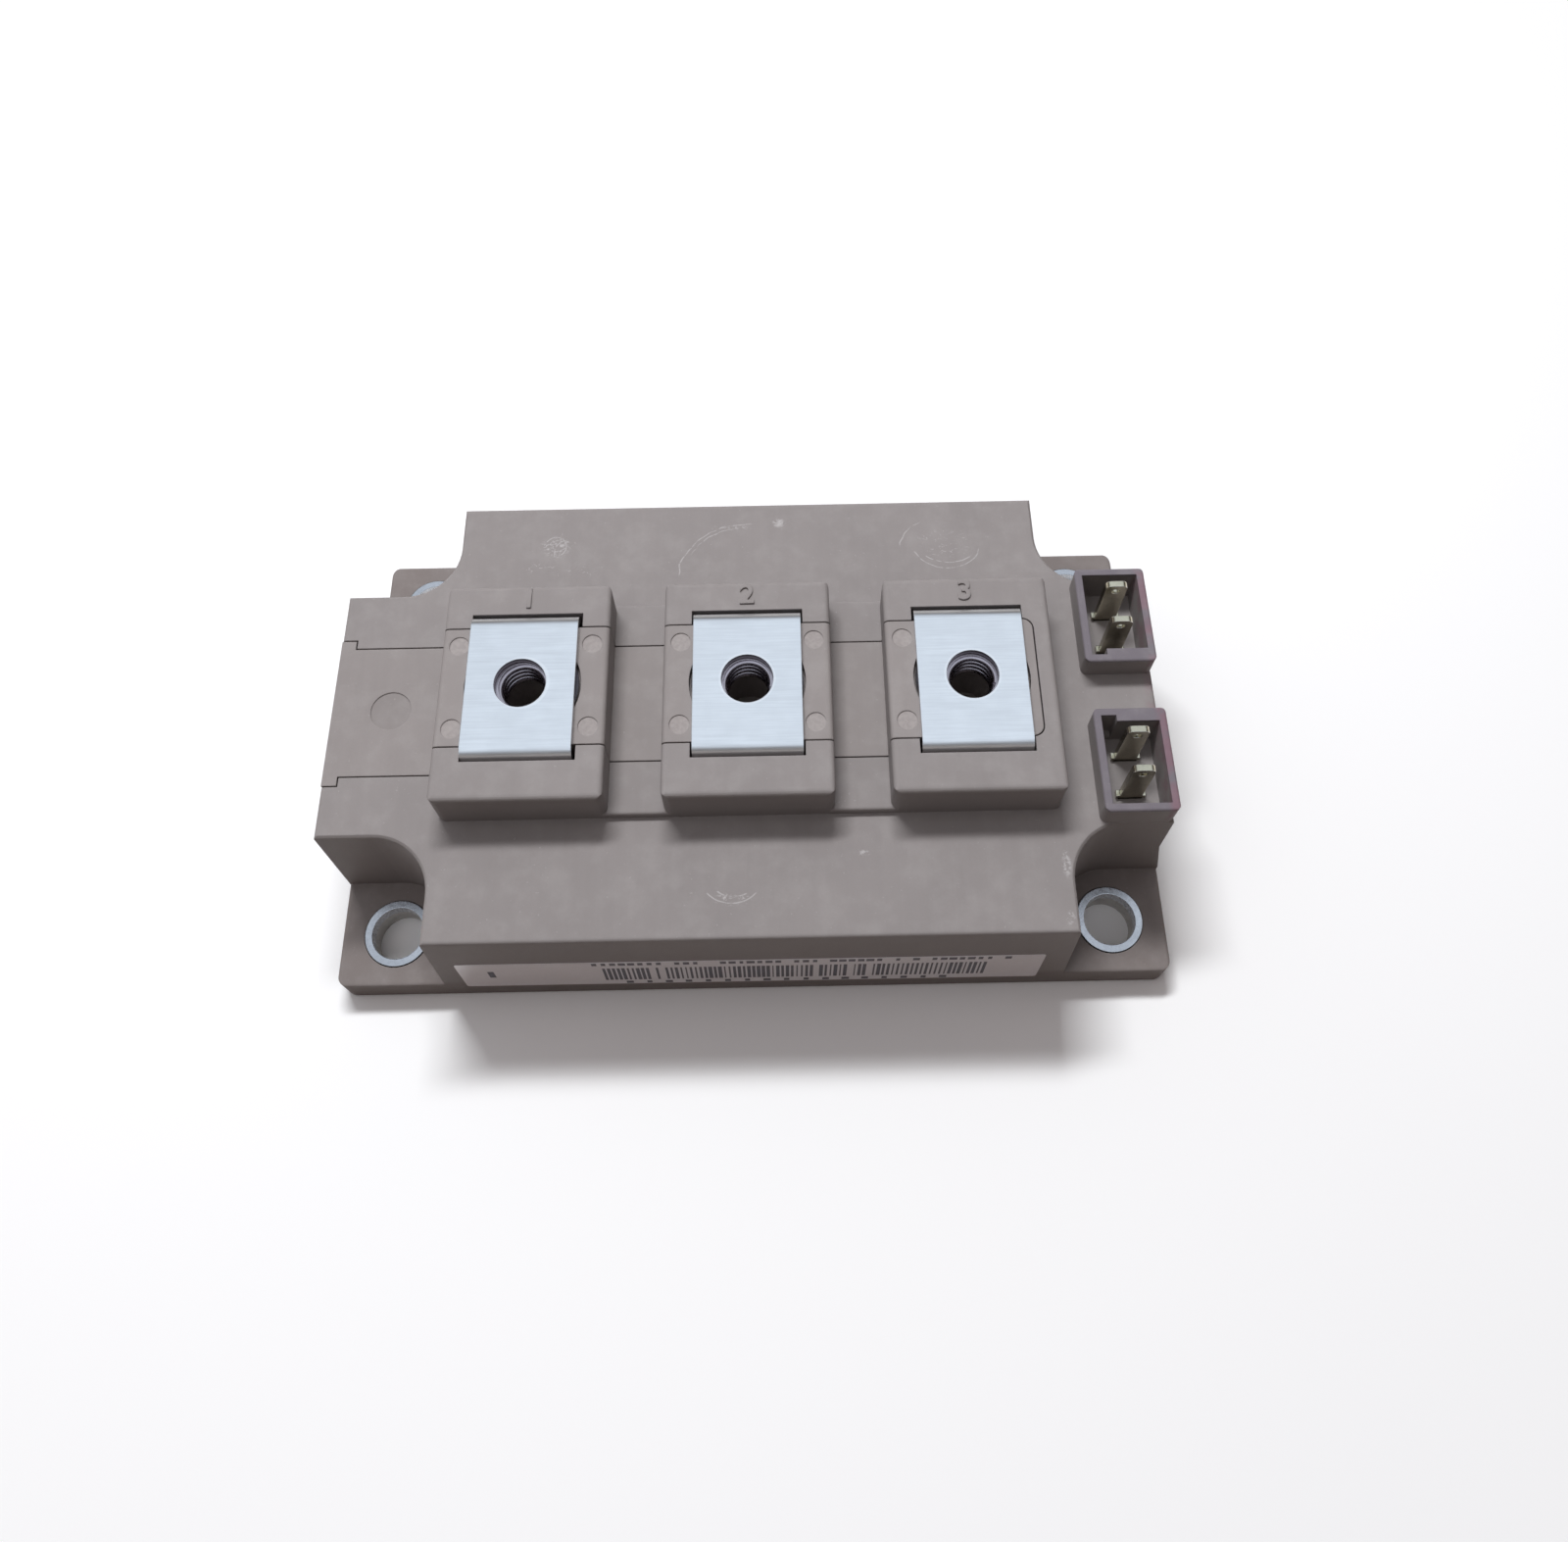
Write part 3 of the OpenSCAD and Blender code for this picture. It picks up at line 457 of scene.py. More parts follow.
def case_zones(n, vector):
    """The polished rims of the tab connectors, their stained outer wall, and the darker foot of the case."""
    parts = n.add("ShaderNodeSeparateXYZ")
    n.link(vector, parts.inputs[0])
    x, y, z = parts.outputs
    shroud = n.ramp(x, 42.6 * MM, 43.0 * MM)
    rims = n.maths("MULTIPLY", shroud, n.ramp(z, 25.5 * MM, 25.9 * MM))
    outer = n.maths("MULTIPLY", n.ramp(x, 50.6 * MM, 51.6 * MM), n.ramp(z, 20.5 * MM, 23.5 * MM))
    blotches = n.ramp(n.noise(vector, 330.0, detail=4.0), 0.36, 0.60)
    foot_mottle = n.maths("ADD", n.maths("MULTIPLY", n.noise(vector, 210.0, detail=4.0), 0.6), 0.55)
    # Darker towards the bottom of the case, mottled by noise.
    low = n.maths("MULTIPLY", n.ramp(z, 6.5 * MM, 4.4 * MM), foot_mottle)
    return rims, n.maths("MULTIPLY", outer, blotches), low


def plastic(name, base, props, scuffed=False, marked=False):
    """Matte glass-filled plastic with moulded grain, edges painted paler (painted edge highlight and edge wear), dust
    and, on the case, scuffs.
    """
    made, n, shader, vector = new_material(name)
    grain = n.group("Moulded grain", Vector=vector, Grain_size=0.16 * MM)
    edges = n.group("Highlit and worn edges", Vector=vector, Width=0.22 * MM, Breakup=0.7)
    dust = n.group("Settled dust", Vector=vector, Amount=0.22).outputs["Mask"]
    base = tuple(base)
    pale = tuple(min(1.0, c * 1.05) for c in base)
    deep = tuple(c * 0.94 for c in base)
    tone = n.ramp(grain.outputs["Tone"], 0.30, 0.70, smooth=False)
    skin = n.mix(tone, deep, pale)
    skin = n.mix(n.maths("MULTIPLY", grain.outputs["Height"], 0.14), skin, tuple(c * 0.75 for c in base))
    # Edges painted paler: partly painted edge highlight, partly edge wear.
    highlit_and_worn = n.maths("MULTIPLY", edges.outputs["Mask"], props.edge_wear)
    skin = n.mix(highlit_and_worn, skin, tuple(min(1.0, c * 1.9) for c in base))
    rough = n.ramp(grain.outputs["Height"], 0.3, 0.7, 0.56, 0.68)
    if marked:
        pins, gate = pin_marks(n, vector)
        speckle = n.ramp(n.noise(vector, 1900.0, detail=3.0), 0.35, 0.65)
        lift = n.maths("MULTIPLY", pins, n.maths("ADD", n.maths("MULTIPLY", speckle, 0.5), 0.35))
        skin = n.mix(lift, skin, tuple(min(1.0, c * 1.28) for c in base))
        skin = n.mix(n.maths("MULTIPLY", gate, 0.6), skin, tuple(c * 0.86 for c in base))
        rough = n.maths("ADD", rough, n.maths("MULTIPLY", n.maths("ADD", pins, gate), 0.10))
    if scuffed:
        rims, end_wall, low = case_zones(n, vector)
        skin = n.mix(n.maths("MULTIPLY", rims, 0.75), skin, (0.145, 0.128, 0.155))
        skin = n.mix(n.maths("MULTIPLY", end_wall, 0.60), skin, (0.235, 0.120, 0.150))
        # Darkens the case towards its bottom.
        skin = n.mix(n.maths("MULTIPLY", low, 0.60), skin, (0.150, 0.118, 0.105))
        scuff = deck_scuffs(n, vector, props.scuffing)
        skin = n.mix(scuff, skin, tuple(props.scuff_colour))
    skin = n.mix(dust, skin, (0.50, 0.48, 0.47))
    n.link(skin, shader.inputs["Base Color"])
    n.link(rough, shader.inputs["Roughness"])
    shader.inputs["Specular IOR Level"].default_value = 0.45
    bump = n.add("ShaderNodeBump")
    bump.inputs["Strength"].default_value = props.grain
    bump.inputs["Distance"].default_value = 0.02 * MM
    n.link(grain.outputs["Height"], bump.inputs["Height"])
    n.link(edges.outputs["Normal"], bump.inputs["Normal"])
    n.link(bump.outputs[0], shader.inputs["Normal"])
    return made


class MODULE_OT_case(Operator):
    """Give the case and the nut holder their moulded finish"""

    bl_idname = "module.case"
    bl_label = "Finish the case"

    def execute(self, context):
        props = context.scene.module_finish
        finish_node("housing", plastic("moulded_case", props.case_colour, props, scuffed=True))
        finish_node("lid", plastic("moulded_holder", props.holder_colour, props, marked=True))
        return {"FINISHED"}


# ---------------------------------------------------------------- metals


def metal(name, base, roughness, stretch, tone_depth=0.12, bump_depth=0.006, dark=0.0, edge=0.0):
    """Plated metal with fine brushing. dark adds spots of tarnish, edge paints a highlight on its edges."""
    made, n, shader, vector = new_material(name)
    brush = n.group("Brushed lines", Vector=vector, Stretch=stretch)
    base = tuple(base)
    tone = n.ramp(brush.outputs["Tone"], 0.3, 0.7)
    skin = n.mix(tone, tuple(c * (1 - tone_depth) for c in base), base)
    skin = n.mix(n.ramp(brush.outputs["Lines"], 0.35, 0.65, 0.0, 0.22), skin, tuple(c * 0.78 for c in base))
    if dark:
        spots = n.ramp(n.noise(vector, 700.0, detail=5.0, roughness=0.65), 0.50, 0.72, 0.0, dark)
        skin = n.mix(spots, skin, tuple(c * 0.45 for c in base))
    if edge:
        # Painted edge highlight: the edges are lightened towards white.
        edges = n.group("Highlit and worn edges", Vector=vector, Width=0.12 * MM, Breakup=0.25)
        skin = n.mix(n.maths("MULTIPLY", edges.outputs["Mask"], edge), skin, (0.95, 0.97, 1.0))
    n.link(skin, shader.inputs["Base Color"])
    shader.inputs["Metallic"].default_value = 1.0
    n.link(n.ramp(brush.outputs["Lines"], 0.3, 0.7, roughness - 0.05, roughness + 0.07), shader.inputs["Roughness"])
    bump = n.add("ShaderNodeBump")
    bump.inputs["Strength"].default_value = 0.5
    bump.inputs["Distance"].default_value = bump_depth * MM
    n.link(brush.outputs["Lines"], bump.inputs["Height"])
    if edge:
        n.link(edges.outputs["Normal"], bump.inputs["Normal"])
    n.link(bump.outputs[0], shader.inputs["Normal"])
    return made, n, shader, vector, skin


def terminal_reach(n, vector):
    """Distance from the nearest terminal's screw axis, and the height."""
    parts = n.add("ShaderNodeSeparateXYZ")
    n.link(vector, parts.inputs[0])
    x, y, z = parts.outputs
    turns = n.maths("DIVIDE", x, TERMINAL_PITCH)
    offset = n.maths("MULTIPLY", n.maths("SUBTRACT", turns, n.maths("ROUND", turns)), TERMINAL_PITCH)
    return n.maths("SQRT", n.maths("ADD", n.maths("MULTIPLY", offset, offset), n.maths("MULTIPLY", y, y))), z


def terminal_metal(props):
    """Plated strip: bright top, a pale burr round the screw hole, painted shade on the hole's wall, and painted shade
    and dark reflection on the legs.
    """
    made, n, shader, vector, skin = metal(
        "plated_terminal", props.terminal_colour, 0.34, (140.0, 5200.0, 5200.0), tone_depth=0.05, edge=0.85,
    )
    reach, z = terminal_reach(n, vector)
    burr = n.ramp(reach, 3.62 * MM, 3.42 * MM)
    # Painted shade: just below the top, the wall of the screw hole is painted dark.
    bore = n.ramp(z, TERMINAL_TOP - 0.06 * MM, TERMINAL_TOP - 0.16 * MM)
    skin = n.mix(n.maths("MULTIPLY", burr, 0.75), skin, (0.98, 0.99, 1.0))
    skin = n.mix(n.maths("MULTIPLY", burr, bore), skin, (0.22, 0.20, 0.22))
    # Painted shade and dark reflection: the legs turn darker and browner below the top, where they run down into the
    # holder's slots.
    leg_painted_shade = n.ramp(z, TERMINAL_TOP - 0.35 * MM, TERMINAL_TOP - 1.3 * MM)
    skin = n.mix(n.maths("MULTIPLY", leg_painted_shade, 0.62), skin, (0.30, 0.26, 0.25))
    n.link(skin, shader.inputs["Base Color"])
    return made


def nut_metal(props):
    """Plated steel, bright in the bore, with painted shade on the flange round it."""
    made, n, shader, vector, skin = metal(
        "plated_nut", props.nut_colour, 0.22, (900.0, 900.0, 6000.0), dark=0.35, edge=0.3,
    )
    # Painted shade: the flange, down in the holder's recess beside the terminal, is painted almost black.
    flange = n.ramp(terminal_reach(n, vector)[0], 3.9 * MM, 4.6 * MM)
    skin = n.mix(n.maths("MULTIPLY", flange, 0.9), skin, (0.045, 0.040, 0.043))
    n.link(skin, shader.inputs["Base Color"])
    return made


def thread_tree():
    """Geometry nodes for a V-shaped ridge that winds up the inside of a bore."""
    tree = bpy.data.node_groups.new("Thread", "GeometryNodeTree")
    for name, kind in (
        ("Bore radius", "NodeSocketFloat"), ("Ridge height", "NodeSocketFloat"), ("Pitch", "NodeSocketFloat"),
        ("Length", "NodeSocketFloat"), ("Foot", "NodeSocketVector"), ("Material", "NodeSocketMaterial"),
    ):
        tree.interface.new_socket(name=name, in_out="INPUT", socket_type=kind)
    tree.interface.new_socket(name="Geometry", in_out="OUTPUT", socket_type="NodeSocketGeometry")
    n = Nodes(tree)
    start, end = n.add("NodeGroupInput"), n.add("NodeGroupOutput")
    spiral = n.add("GeometryNodeCurveSpiral")
    turns = n.maths("DIVIDE", start.outputs["Length"], start.outputs["Pitch"])
    spiral.inputs["Resolution"].default_value = 48
    for name in ("Start Radius", "End Radius"):
        n.link(start.outputs["Bore radius"], spiral.inputs[name])
    n.link(turns, spiral.inputs["Rotations"])
    n.link(start.outputs["Length"], spiral.inputs["Height"])
    upright = n.add("GeometryNodeSetCurveNormal")
    upright.mode = "Z_UP"
    n.link(spiral.outputs[0], upright.inputs[0])
    section = n.add("GeometryNodeCurvePrimitiveCircle")
    section.inputs["Resolution"].default_value = 4
    n.link(start.outputs["Ridge height"], section.inputs["Radius"])
    sweep = n.add("GeometryNodeCurveToMesh")
    sweep.inputs["Fill Caps"].default_value = True
    n.link(upright.outputs[0], sweep.inputs["Curve"])
    n.link(section.outputs[0], sweep.inputs["Profile Curve"])
    place = n.add("GeometryNodeTransform")
    n.link(sweep.outputs[0], place.inputs["Geometry"])
    n.link(start.outputs["Foot"], place.inputs["Translation"])
    whole = n.add("GeometryNodeRealizeInstances")
    n.link(place.outputs[0], whole.inputs[0])
    paint = n.add("GeometryNodeSetMaterial")
    n.link(whole.outputs[0], paint.inputs["Geometry"])
    n.link(start.outputs["Material"], paint.inputs["Material"])
    n.link(paint.outputs[0], end.inputs[0])
    return tree


def grown(name, tree, **inputs):
    """Runs a geometry node tree once and returns its result as a plain mesh object."""
    seed = bpy.data.objects.new(name + "_seed", bpy.data.meshes.new(name + "_seed"))
    bpy.context.scene.collection.objects.link(seed)
    modifier = seed.modifiers.new("grow", "NODES")
    modifier.node_group = tree
    for item in tree.interface.items_tree:
        if item.in_out == "INPUT":
            key = item.name.replace(" ", "_")
            if key in inputs:
                modifier[item.identifier] = inputs[key]
    seed.update_tag()
    graph = bpy.context.evaluated_depsgraph_get()
    graph.update()
    mesh = bpy.data.meshes.new_from_object(seed.evaluated_get(graph), depsgraph=graph)
    mesh.name = name
    bpy.data.objects.remove(seed, do_unlink=True)
    outward(mesh)
    return bpy.data.objects.new(name, mesh)


def outward(mesh):
    """Merges doubles and points all faces outwards."""
    work = bmesh.new()
    work.from_mesh(mesh)
    bmesh.ops.remove_doubles(work, verts=work.verts, dist=1e-7)
    bmesh.ops.recalc_face_normals(work, faces=work.faces)
    work.to_mesh(mesh)
    work.free()


class MODULE_OT_metals(Operator):
    """Give the terminals, nuts, collars, tabs and base plate their metals"""

    bl_idname = "module.metals"
    bl_label = "Finish the metals"

    def execute(self, context):
        props = context.scene.module_finish
        strip = terminal_metal(props)
        for name in TERMINALS:
            finish_node(name, strip)
        nut = nut_metal(props)
        for name in NUTS:
            finish_node(name, nut)
        collar = metal("turned_collar", props.collar_colour, 0.26, (2500.0, 2500.0, 900.0), edge=0.7)[0]
        for name in COLLARS:
            finish_node(name, collar)
        tab = metal("tinned_tab", props.tab_colour, 0.17, (3000.0, 3000.0, 160.0), dark=0.35, edge=0.8)[0]
        for name in TABS:
            finish_node(name, tab)
        plate = metal("plated_base", props.plate_colour, 0.42, (60.0, 3000.0, 3000.0), dark=0.4)[0]
        finish_node("base_plate", plate)
        return {"FINISHED"}


class MODULE_OT_threads(Operator):
    """Wind a thread up the bore of each nut"""

    bl_idname = "module.threads"
    bl_label = "Cut the threads"

    def execute(self, context):
        details = context.scene.module_details
        tree = thread_tree()
        for number, name in enumerate(NUTS, 1):
            low, high = box(name)
            foot = middle(name)
            foot.z = low.z + details.thread_depth
            thread = grown(
                f"thread_{number}", tree, Bore_radius=3.0 * MM, Ridge_height=details.thread_depth,
                Pitch=details.thread_pitch, Length=high.z - low.z - 2 * details.thread_depth,
                Foot=foot, Material=bpy.data.materials["plated_nut"],
            )
            place_piece(thread)
        return {"FINISHED"}


# ---------------------------------------------------------------- power circuit


def plain_finish(name, base, roughness, metallic=0.0, scale=800.0, depth=0.12):
    """A finish with a fine mottled tone for a piece inside the case."""
    made, n, shader, vector = new_material(name)
    tone = n.noise(vector, scale, detail=3.0)
    low, high = (tuple(min(1.0, c * k) for c in base) for k in (1 - depth, 1 + depth))
    n.link(n.mix(n.ramp(tone, 0.35, 0.65), low, high), shader.inputs["Base Color"])
    n.link(n.ramp(tone, 0.3, 0.7, roughness - 0.06, roughness + 0.06), shader.inputs["Roughness"])
    shader.inputs["Metallic"].default_value = metallic
    return made


class MODULE_OT_circuit(Operator):
    """Finish the circuit, the gel and the bead inside the case"""

    bl_idname = "module.circuit"
    bl_label = "Finish the circuit"

    def execute(self, context):
        copper = plain_finish("bare_copper", (0.72, 0.36, 0.20), 0.36, 1.0)
        ceramic = plain_finish("fired_ceramic", (0.84, 0.82, 0.77), 0.50, depth=0.04)
        chip = plain_finish("chip_metal", (0.34, 0.35, 0.38), 0.25, 1.0)
        wire = plain_finish("bond_wire", (0.84, 0.85, 0.86), 0.30, 1.0)
        lead = plain_finish("tinned_lead", (0.72, 0.70, 0.66), 0.35, 1.0)
        seal = plain_finish("case_bead", (0.82, 0.80, 0.75), 0.55)
        gel = plain_finish("soft_gel", (0.80, 0.78, 0.72), 0.18, depth=0.03)
        for side in ("left", "right"):
            finish_node(f"backing_{side}", copper)
            finish_node(f"circuit_{side}", copper)
            finish_node(f"ceramic_{side}", ceramic)
            finish_node(f"igbt_chips_{side}", chip)
            finish_node(f"diode_chips_{side}", chip)
            finish_node(f"bond_wires_{side}", wire)
        finish_node("bridge", copper)
        for number in range(1, 5):
            finish_node(f"lead_{number}", lead)
        finish_node("case_seal", seal)
        finish_node("silicone_gel", gel)
        return {"FINISHED"}


# ---------------------------------------------------------------- numerals


class MODULE_OT_numerals(Operator):
    """Raise a plain numeral at the rear of each terminal block"""

    bl_idname = "module.numerals"
    bl_label = "Raise the numerals"

    def execute(self, context):
        details = context.scene.module_details
        finish = bpy.data.materials["moulded_case"]
        for number in (1, 2, 3):
            curve = bpy.data.curves.new(f"numeral_{number}", "FONT")
            curve.body = str(number)
            curve.size = details.numeral_height / 0.7
            curve.extrude = details.numeral_relief / 2
            curve.bevel_depth = 0.03 * MM
            curve.offset = 0.07 * MM
            curve.align_x, curve.align_y = "CENTER", "CENTER"
            curve.resolution_u = 8
            text = bpy.data.objects.new(f"numeral_{number}", curve)
            context.scene.collection.objects.link(text)
            mesh = bpy.data.meshes.new_from_object(text)
            bpy.data.objects.remove(text, do_unlink=True)
            lift = BLOCK_TOP + details.numeral_relief / 2
            mesh.transform(Matrix.Translation(((number - 2) * TERMINAL_PITCH, 12.05 * MM, lift)))
            outward(mesh)
            mesh.materials.clear()
            mesh.materials.append(finish)
            place_piece(bpy.data.objects.new(f"numeral_{number}", mesh))
        return {"FINISHED"}


# ---------------------------------------------------------------- label


def bar_row_tree():
    """Geometry nodes for a row of upright printed bars of uneven width."""
    tree = bpy.data.node_groups.new("Printed bars", "GeometryNodeTree")
    for name, kind in (
        ("Count", "NodeSocketInt"), ("Spacing", "NodeSocketFloat"), ("Height", "NodeSocketFloat"),
        ("Thinnest", "NodeSocketFloat"), ("Widest", "NodeSocketFloat"), ("Ink", "NodeSocketFloat"),
        ("Kept", "NodeSocketFloat"), ("Seed", "NodeSocketInt"), ("Material", "NodeSocketMaterial"),
    ):
        tree.interface.new_socket(name=name, in_out="INPUT", socket_type=kind)
    tree.interface.new_socket(name="Geometry", in_out="OUTPUT", socket_type="NodeSocketGeometry")
    n = Nodes(tree)
    start, end = n.add("NodeGroupInput"), n.add("NodeGroupOutput")
    line = n.add("GeometryNodeMeshLine", mode="OFFSET")
    n.link(start.outputs["Count"], line.inputs["Count"])
    step = n.add("ShaderNodeCombineXYZ")
    n.link(start.outputs["Spacing"], step.inputs["X"])
    n.link(step.outputs[0], line.inputs["Offset"])
    kept = n.add("FunctionNodeRandomValue", data_type="BOOLEAN")
    n.link(start.outputs["Kept"], kept.inputs["Probability"])
    n.link(start.outputs["Seed"], kept.inputs["Seed"])
    points = n.add("GeometryNodeMeshToPoints")
    n.link(line.outputs[0], points.inputs["Mesh"])
    n.link(kept.outputs[3], points.inputs["Selection"])
    bar = n.add("GeometryNodeMeshCube")
    width = n.add("FunctionNodeRandomValue", data_type="FLOAT")
    n.link(start.outputs["Thinnest"], width.inputs[2])
    n.link(start.outputs["Widest"], width.inputs[3])
    n.link(n.maths("ADD", start.outputs["Seed"], 7), width.inputs["Seed"])
    size = n.add("ShaderNodeCombineXYZ")
    n.link(width.outputs[1], size.inputs["X"])
    n.link(start.outputs["Height"], size.inputs["Y"])
    n.link(start.outputs["Ink"], size.inputs["Z"])
    spread = n.add("GeometryNodeInstanceOnPoints")
    n.link(points.outputs[0], spread.inputs["Points"])
    n.link(bar.outputs[0], spread.inputs["Instance"])
    n.link(size.outputs[0], spread.inputs["Scale"])
    whole = n.add("GeometryNodeRealizeInstances")
    n.link(spread.outputs[0], whole.inputs[0])
    paint = n.add("GeometryNodeSetMaterial")
    n.link(whole.outputs[0], paint.inputs["Geometry"])
    n.link(start.outputs["Material"], paint.inputs["Material"])
    n.link(paint.outputs[0], end.inputs[0])
    return tree


def label_paper():
    made, n, shader, vector = new_material("label_paper")
    fibres = n.noise(vector, 2400.0, detail=4.0, roughness=0.7)
    stain = n.ramp(n.noise(vector, 140.0, detail=4.0), 0.42, 0.72, 0.0, 0.30)
    skin = n.mix(n.ramp(fibres, 0.35, 0.65), (0.90, 0.89, 0.94), (0.95, 0.94, 0.98))
    n.link(n.mix(stain, skin, (0.80, 0.78, 0.80)), shader.inputs["Base Color"])
    n.link(n.ramp(fibres, 0.3, 0.7, 0.32, 0.42), shader.inputs["Roughness"])
    shader.inputs["Coat Weight"].default_value = 1.0
    shader.inputs["Coat Roughness"].default_value = 0.25
    return made


def label_ink():
    made, n, shader, vector = new_material("label_ink")
    fade = n.noise(vector, 3200.0, detail=4.0, roughness=0.7)
    n.link(n.mix(n.ramp(fade, 0.35, 0.75), (0.035, 0.033, 0.045), (0.16, 0.15, 0.18)), shader.inputs["Base Color"])
    n.link(n.ramp(fade, 0.3, 0.7, 0.45, 0.6), shader.inputs["Roughness"])
    return made


def rounded_sheet(name, wide, high, corner, thick, finish):
    """A thin flat sheet in X and Y with round corners, its back on z = 0."""
    work = bmesh.new()
    ring = []
    steps = 6
    for quarter, (sx, sy) in enumerate(((1, 1), (-1, 1), (-1, -1), (1, -1))):
        for i in range(steps + 1):
            a = math.radians(90 * quarter + 90 * i / steps)
            ring.append(work.verts.new((
                sx * (wide / 2 - corner) + corner * math.cos(a), sy * (high / 2 - corner) + corner * math.sin(a), 0,
            )))
    face = work.faces.new(ring)
    raised = bmesh.ops.extrude_face_region(work, geom=[face])
    top = [v for v in raised["geom"] if isinstance(v, bmesh.types.BMVert)]
    bmesh.ops.translate(work, verts=top, vec=(0, 0, thick))
    bmesh.ops.recalc_face_normals(work, faces=work.faces)
    mesh = bpy.data.meshes.new(name)
    work.to_mesh(mesh)
    work.free()
    mesh.materials.append(finish)
    return mesh


class MODULE_OT_label(Operator):
    """Stick a label with plain bars on the front wall"""

    bl_idname = "module.label"
    bl_label = "Stick the label"

    def execute(self, context):
        details = context.scene.module_details
        thick, ink = 0.07 * MM, 0.006 * MM
        paper, print_ink = label_paper(), label_ink()
        centre_z = 8.5 * MM
        wall_y = WALL_FOOT_Y + centre_z * math.tan(DRAFT)
        stand = Matrix.Translation((-0.3 * MM, wall_y, centre_z))
        turn = Euler((math.radians(90) - DRAFT, 0, 0)).to_matrix().to_4x4()
        on_wall = stand @ turn @ Matrix.Rotation(math.radians(-0.3), 4, "Z")
        sheet = rounded_sheet(
            "label", details.label_length, details.label_height, 0.4 * MM, thick, paper,
        )
        sheet.transform(on_wall)
        place_piece(bpy.data.objects.new("label", sheet))
        tree = bar_row_tree()
        long_row = 49.6 * MM
        rows = (
            ("label_bars", details.label_bars, long_row / details.label_bars, 5.2, 0.16, 0.52, 0.95, 3, -19.0, -0.35),
            ("label_rule_top", 46, long_row * 1.06 / 46, 1.0, 0.45, 1.05, 0.80, 11, -19.4, 3.95),
            ("label_rule_foot", 17, long_row * 0.86 / 17, 1.0, 0.6, 1.0, 1.0, 5, -15.6, -4.05),
            ("label_mark", 1, MM, 2.6, 0.8, 0.8, 1.0, 2, -32.6, 0.4),
        )
        for name, count, spacing, height, thin, wide, kept, seed, x, y in rows:
            row = grown(
                name, tree, Count=count, Spacing=spacing, Height=height * MM, Thinnest=thin * MM,
                Widest=wide * MM, Ink=2 * ink, Kept=kept, Seed=seed, Material=print_ink,
            )
            row.data.transform(on_wall @ Matrix.Translation((x * MM, y * MM, thick)))
            place_piece(row)
        return {"FINISHED"}


# ---------------------------------------------------------------- stage


def floor_material(stage):
    """A pale floor for the camera and in reflections, which throws a softer, warmer light back.

    Away from the module it fades to plain white for the camera, out of the lamps' reach.
    """
    made, n, shader, vector = new_material("floor")
    path = n.add("ShaderNodeLightPath")
    seen = n.maths("MAXIMUM", path.outputs["Is Camera Ray"], path.outputs["Is Glossy Ray"])
    seen = n.maths("MAXIMUM", seen, path.outputs["Is Transmission Ray"])
    far = n.maths("MULTIPLY", n.ramp(n.vector("LENGTH", vector), 0.09, 0.30), seen)
    near = n.mix(seen, tuple(stage.bounce_colour), tuple(stage.floor_colour))
    n.link(n.mix(far, near, (0.0, 0.0, 0.0)), shader.inputs["Base Color"])
    n.link(n.mix(far, (0.0, 0.0, 0.0), (1.0, 1.0, 1.0)), shader.inputs["Emission Color"])
    shader.inputs["Emission Strength"].default_value = 1.0
    shader.inputs["Roughness"].default_value = 0.9
    shader.inputs["Specular IOR Level"].default_value = 0.0
    return made


def build_world(stage):
    """White for the camera, a bright zenith over a dim horizon in reflections, and soft light from the left."""
    world = bpy.data.worlds.new("studio")
    bpy.context.scene.world = world
    world.use_nodes = True
    world.node_tree.nodes.clear()
    n = Nodes(world.node_tree)
    path = n.add("ShaderNodeLightPath")
    towards = n.add("ShaderNodeTexCoord").outputs["Generated"]
    parts = n.add("ShaderNodeSeparateXYZ")
    n.link(towards, parts.inputs[0])
    height = parts.outputs["Z"]
    low = n.mix(n.ramp(height, 0.05, 0.42), (0.42, 0.39, 0.37), (0.09, 0.08, 0.08))
    mirrored = n.mix(n.ramp(height, 0.46, 0.78), low, (0.80, 0.88, 0.98))
    window = n.vector("DOT_PRODUCT", towards, Vector((-0.58, 0.42, 0.70)).normalized())
    brightness = n.ramp(window, -0.30, 1.0, 0.03, 1.0, smooth=False)
    tint = n.mix(brightness, (1.0, 0.70, 0.58), (0.95, 1.0, 1.08))
    soft = n.vector("MULTIPLY", tint, n.maths("MULTIPLY", brightness, stage.sky_level))
    glossy = n.maths("MAXIMUM", path.outputs["Is Glossy Ray"], path.outputs["Is Transmission Ray"])
    shown = n.mix(glossy, soft, mirrored)
    shown = n.mix(path.outputs["Is Camera Ray"], shown, (1.0, 1.0, 1.0))
    background = n.add("ShaderNodeBackground")
    n.link(shown, background.inputs["Color"])
    out = n.add("ShaderNodeOutputWorld")
    n.link(background.outputs[0], out.inputs[0])


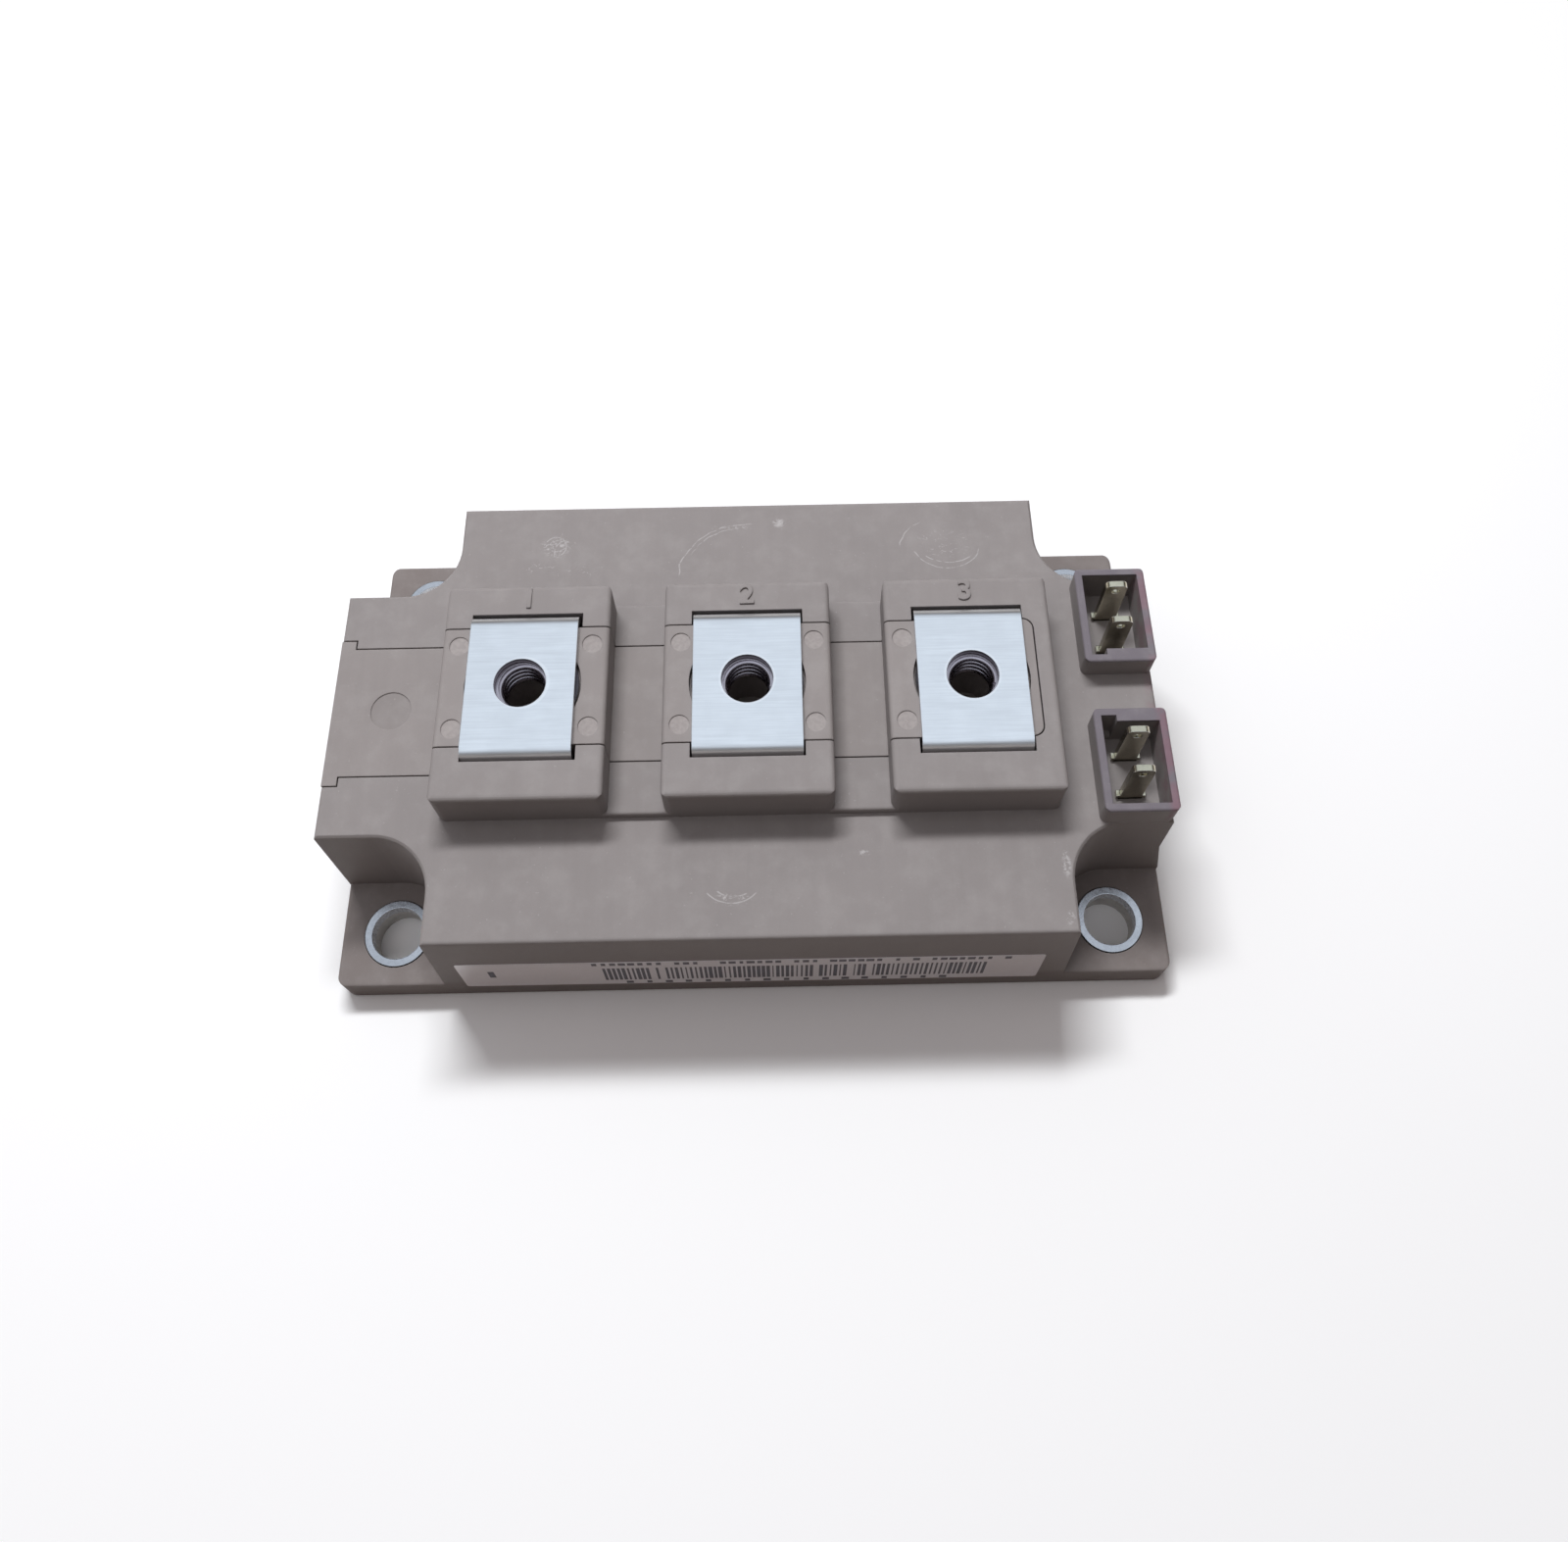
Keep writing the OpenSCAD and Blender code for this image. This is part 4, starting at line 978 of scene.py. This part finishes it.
class MODULE_OT_stage(Operator):
    """Set the floor, the lights and the camera"""

    bl_idname = "module.stage"
    bl_label = "Set the stage"

    def execute(self, context):
        stage = context.scene.module_stage
        work = bmesh.new()
        bmesh.ops.create_grid(work, x_segments=1, y_segments=1, size=6.0)
        bmesh.ops.translate(work, verts=work.verts, vec=(0, 0, -0.02 * MM))
        mesh = bpy.data.meshes.new("floor")
        work.to_mesh(mesh)
        work.free()
        mesh.materials.append(floor_material(stage))
        floor = bpy.data.objects.new("floor", mesh)
        context.scene.collection.objects.link(floor)
        build_world(stage)

        for name, towards, wide, deep, power, tint in (
            ("key", (-0.13, 0.46, 1.0), 0.24, 0.06, stage.key_power, (0.96, 0.98, 1.0)),
            ("fill", (-0.25, -0.10, 1.0), 0.30, 0.30, stage.fill_power, (1.0, 0.93, 0.90)),
        ):
            towards = Vector(towards).normalized()
            light = bpy.data.lights.new(name, "AREA")
            light.shape, light.size, light.size_y, light.energy = "RECTANGLE", wide, deep, power
            light.color = tint
            lamp = bpy.data.objects.new(name, light)
            lamp.location = Vector((0, 0, 15 * MM)) + towards * 0.55
            lamp.rotation_euler = towards.to_track_quat("Z", "Y").to_euler()
            lamp.visible_glossy = False
            context.scene.collection.objects.link(lamp)

        camera = bpy.data.cameras.new("camera")
        camera.sensor_width, camera.lens = 36.0, stage.lens
        camera.shift_y = -0.15
        camera.clip_start, camera.clip_end = 0.01, 20.0
        view = bpy.data.objects.new("camera", camera)
        view.location = (4.64 * MM, -74.56 * MM, 193.05 * MM)
        view.rotation_euler = [math.radians(a) for a in (30.190, 0.482, -0.999)]
        context.scene.collection.objects.link(view)
        context.scene.camera = view
        context.scene.view_settings.view_transform = "Standard"
        return {"FINISHED"}


# ---------------------------------------------------------------- panel and main


OPERATORS = (
    MODULE_OT_stage, MODULE_OT_case, MODULE_OT_metals, MODULE_OT_threads, MODULE_OT_circuit,
    MODULE_OT_numerals, MODULE_OT_label,
)


class MODULE_PT_panel(Panel):
    """Lists the module's settings and operators."""

    bl_idname = "MODULE_PT_panel"
    bl_label = "Power Module"
    bl_space_type = "VIEW_3D"
    bl_region_type = "UI"
    bl_category = "Power Module"

    def draw(self, context):
        for holder in ("module_finish", "module_details", "module_stage"):
            group = getattr(context.scene, holder)
            block = self.layout.box()
            for name in group.__annotations__:
                block.prop(group, name)
        for operator in OPERATORS:
            self.layout.operator(operator.bl_idname)


GROUPS = (("module_finish", ModuleFinish), ("module_details", ModuleDetails), ("module_stage", ModuleStage))


def register():
    for holder, group in GROUPS:
        bpy.utils.register_class(group)
        setattr(bpy.types.Scene, holder, PointerProperty(type=group))
    for made in (*OPERATORS, MODULE_PT_panel):
        bpy.utils.register_class(made)


def unregister():
    for made in reversed((*OPERATORS, MODULE_PT_panel)):
        bpy.utils.unregister_class(made)
    for holder, group in reversed(GROUPS):
        delattr(bpy.types.Scene, holder)
        bpy.utils.unregister_class(group)


def main():
    register()
    build_groups()
    bpy.ops.module.stage()
    bpy.ops.module.case()
    bpy.ops.module.metals()
    bpy.ops.module.threads()
    bpy.ops.module.circuit()
    bpy.ops.module.numerals()
    bpy.ops.module.label()


if __name__ == "__main__":
    main()
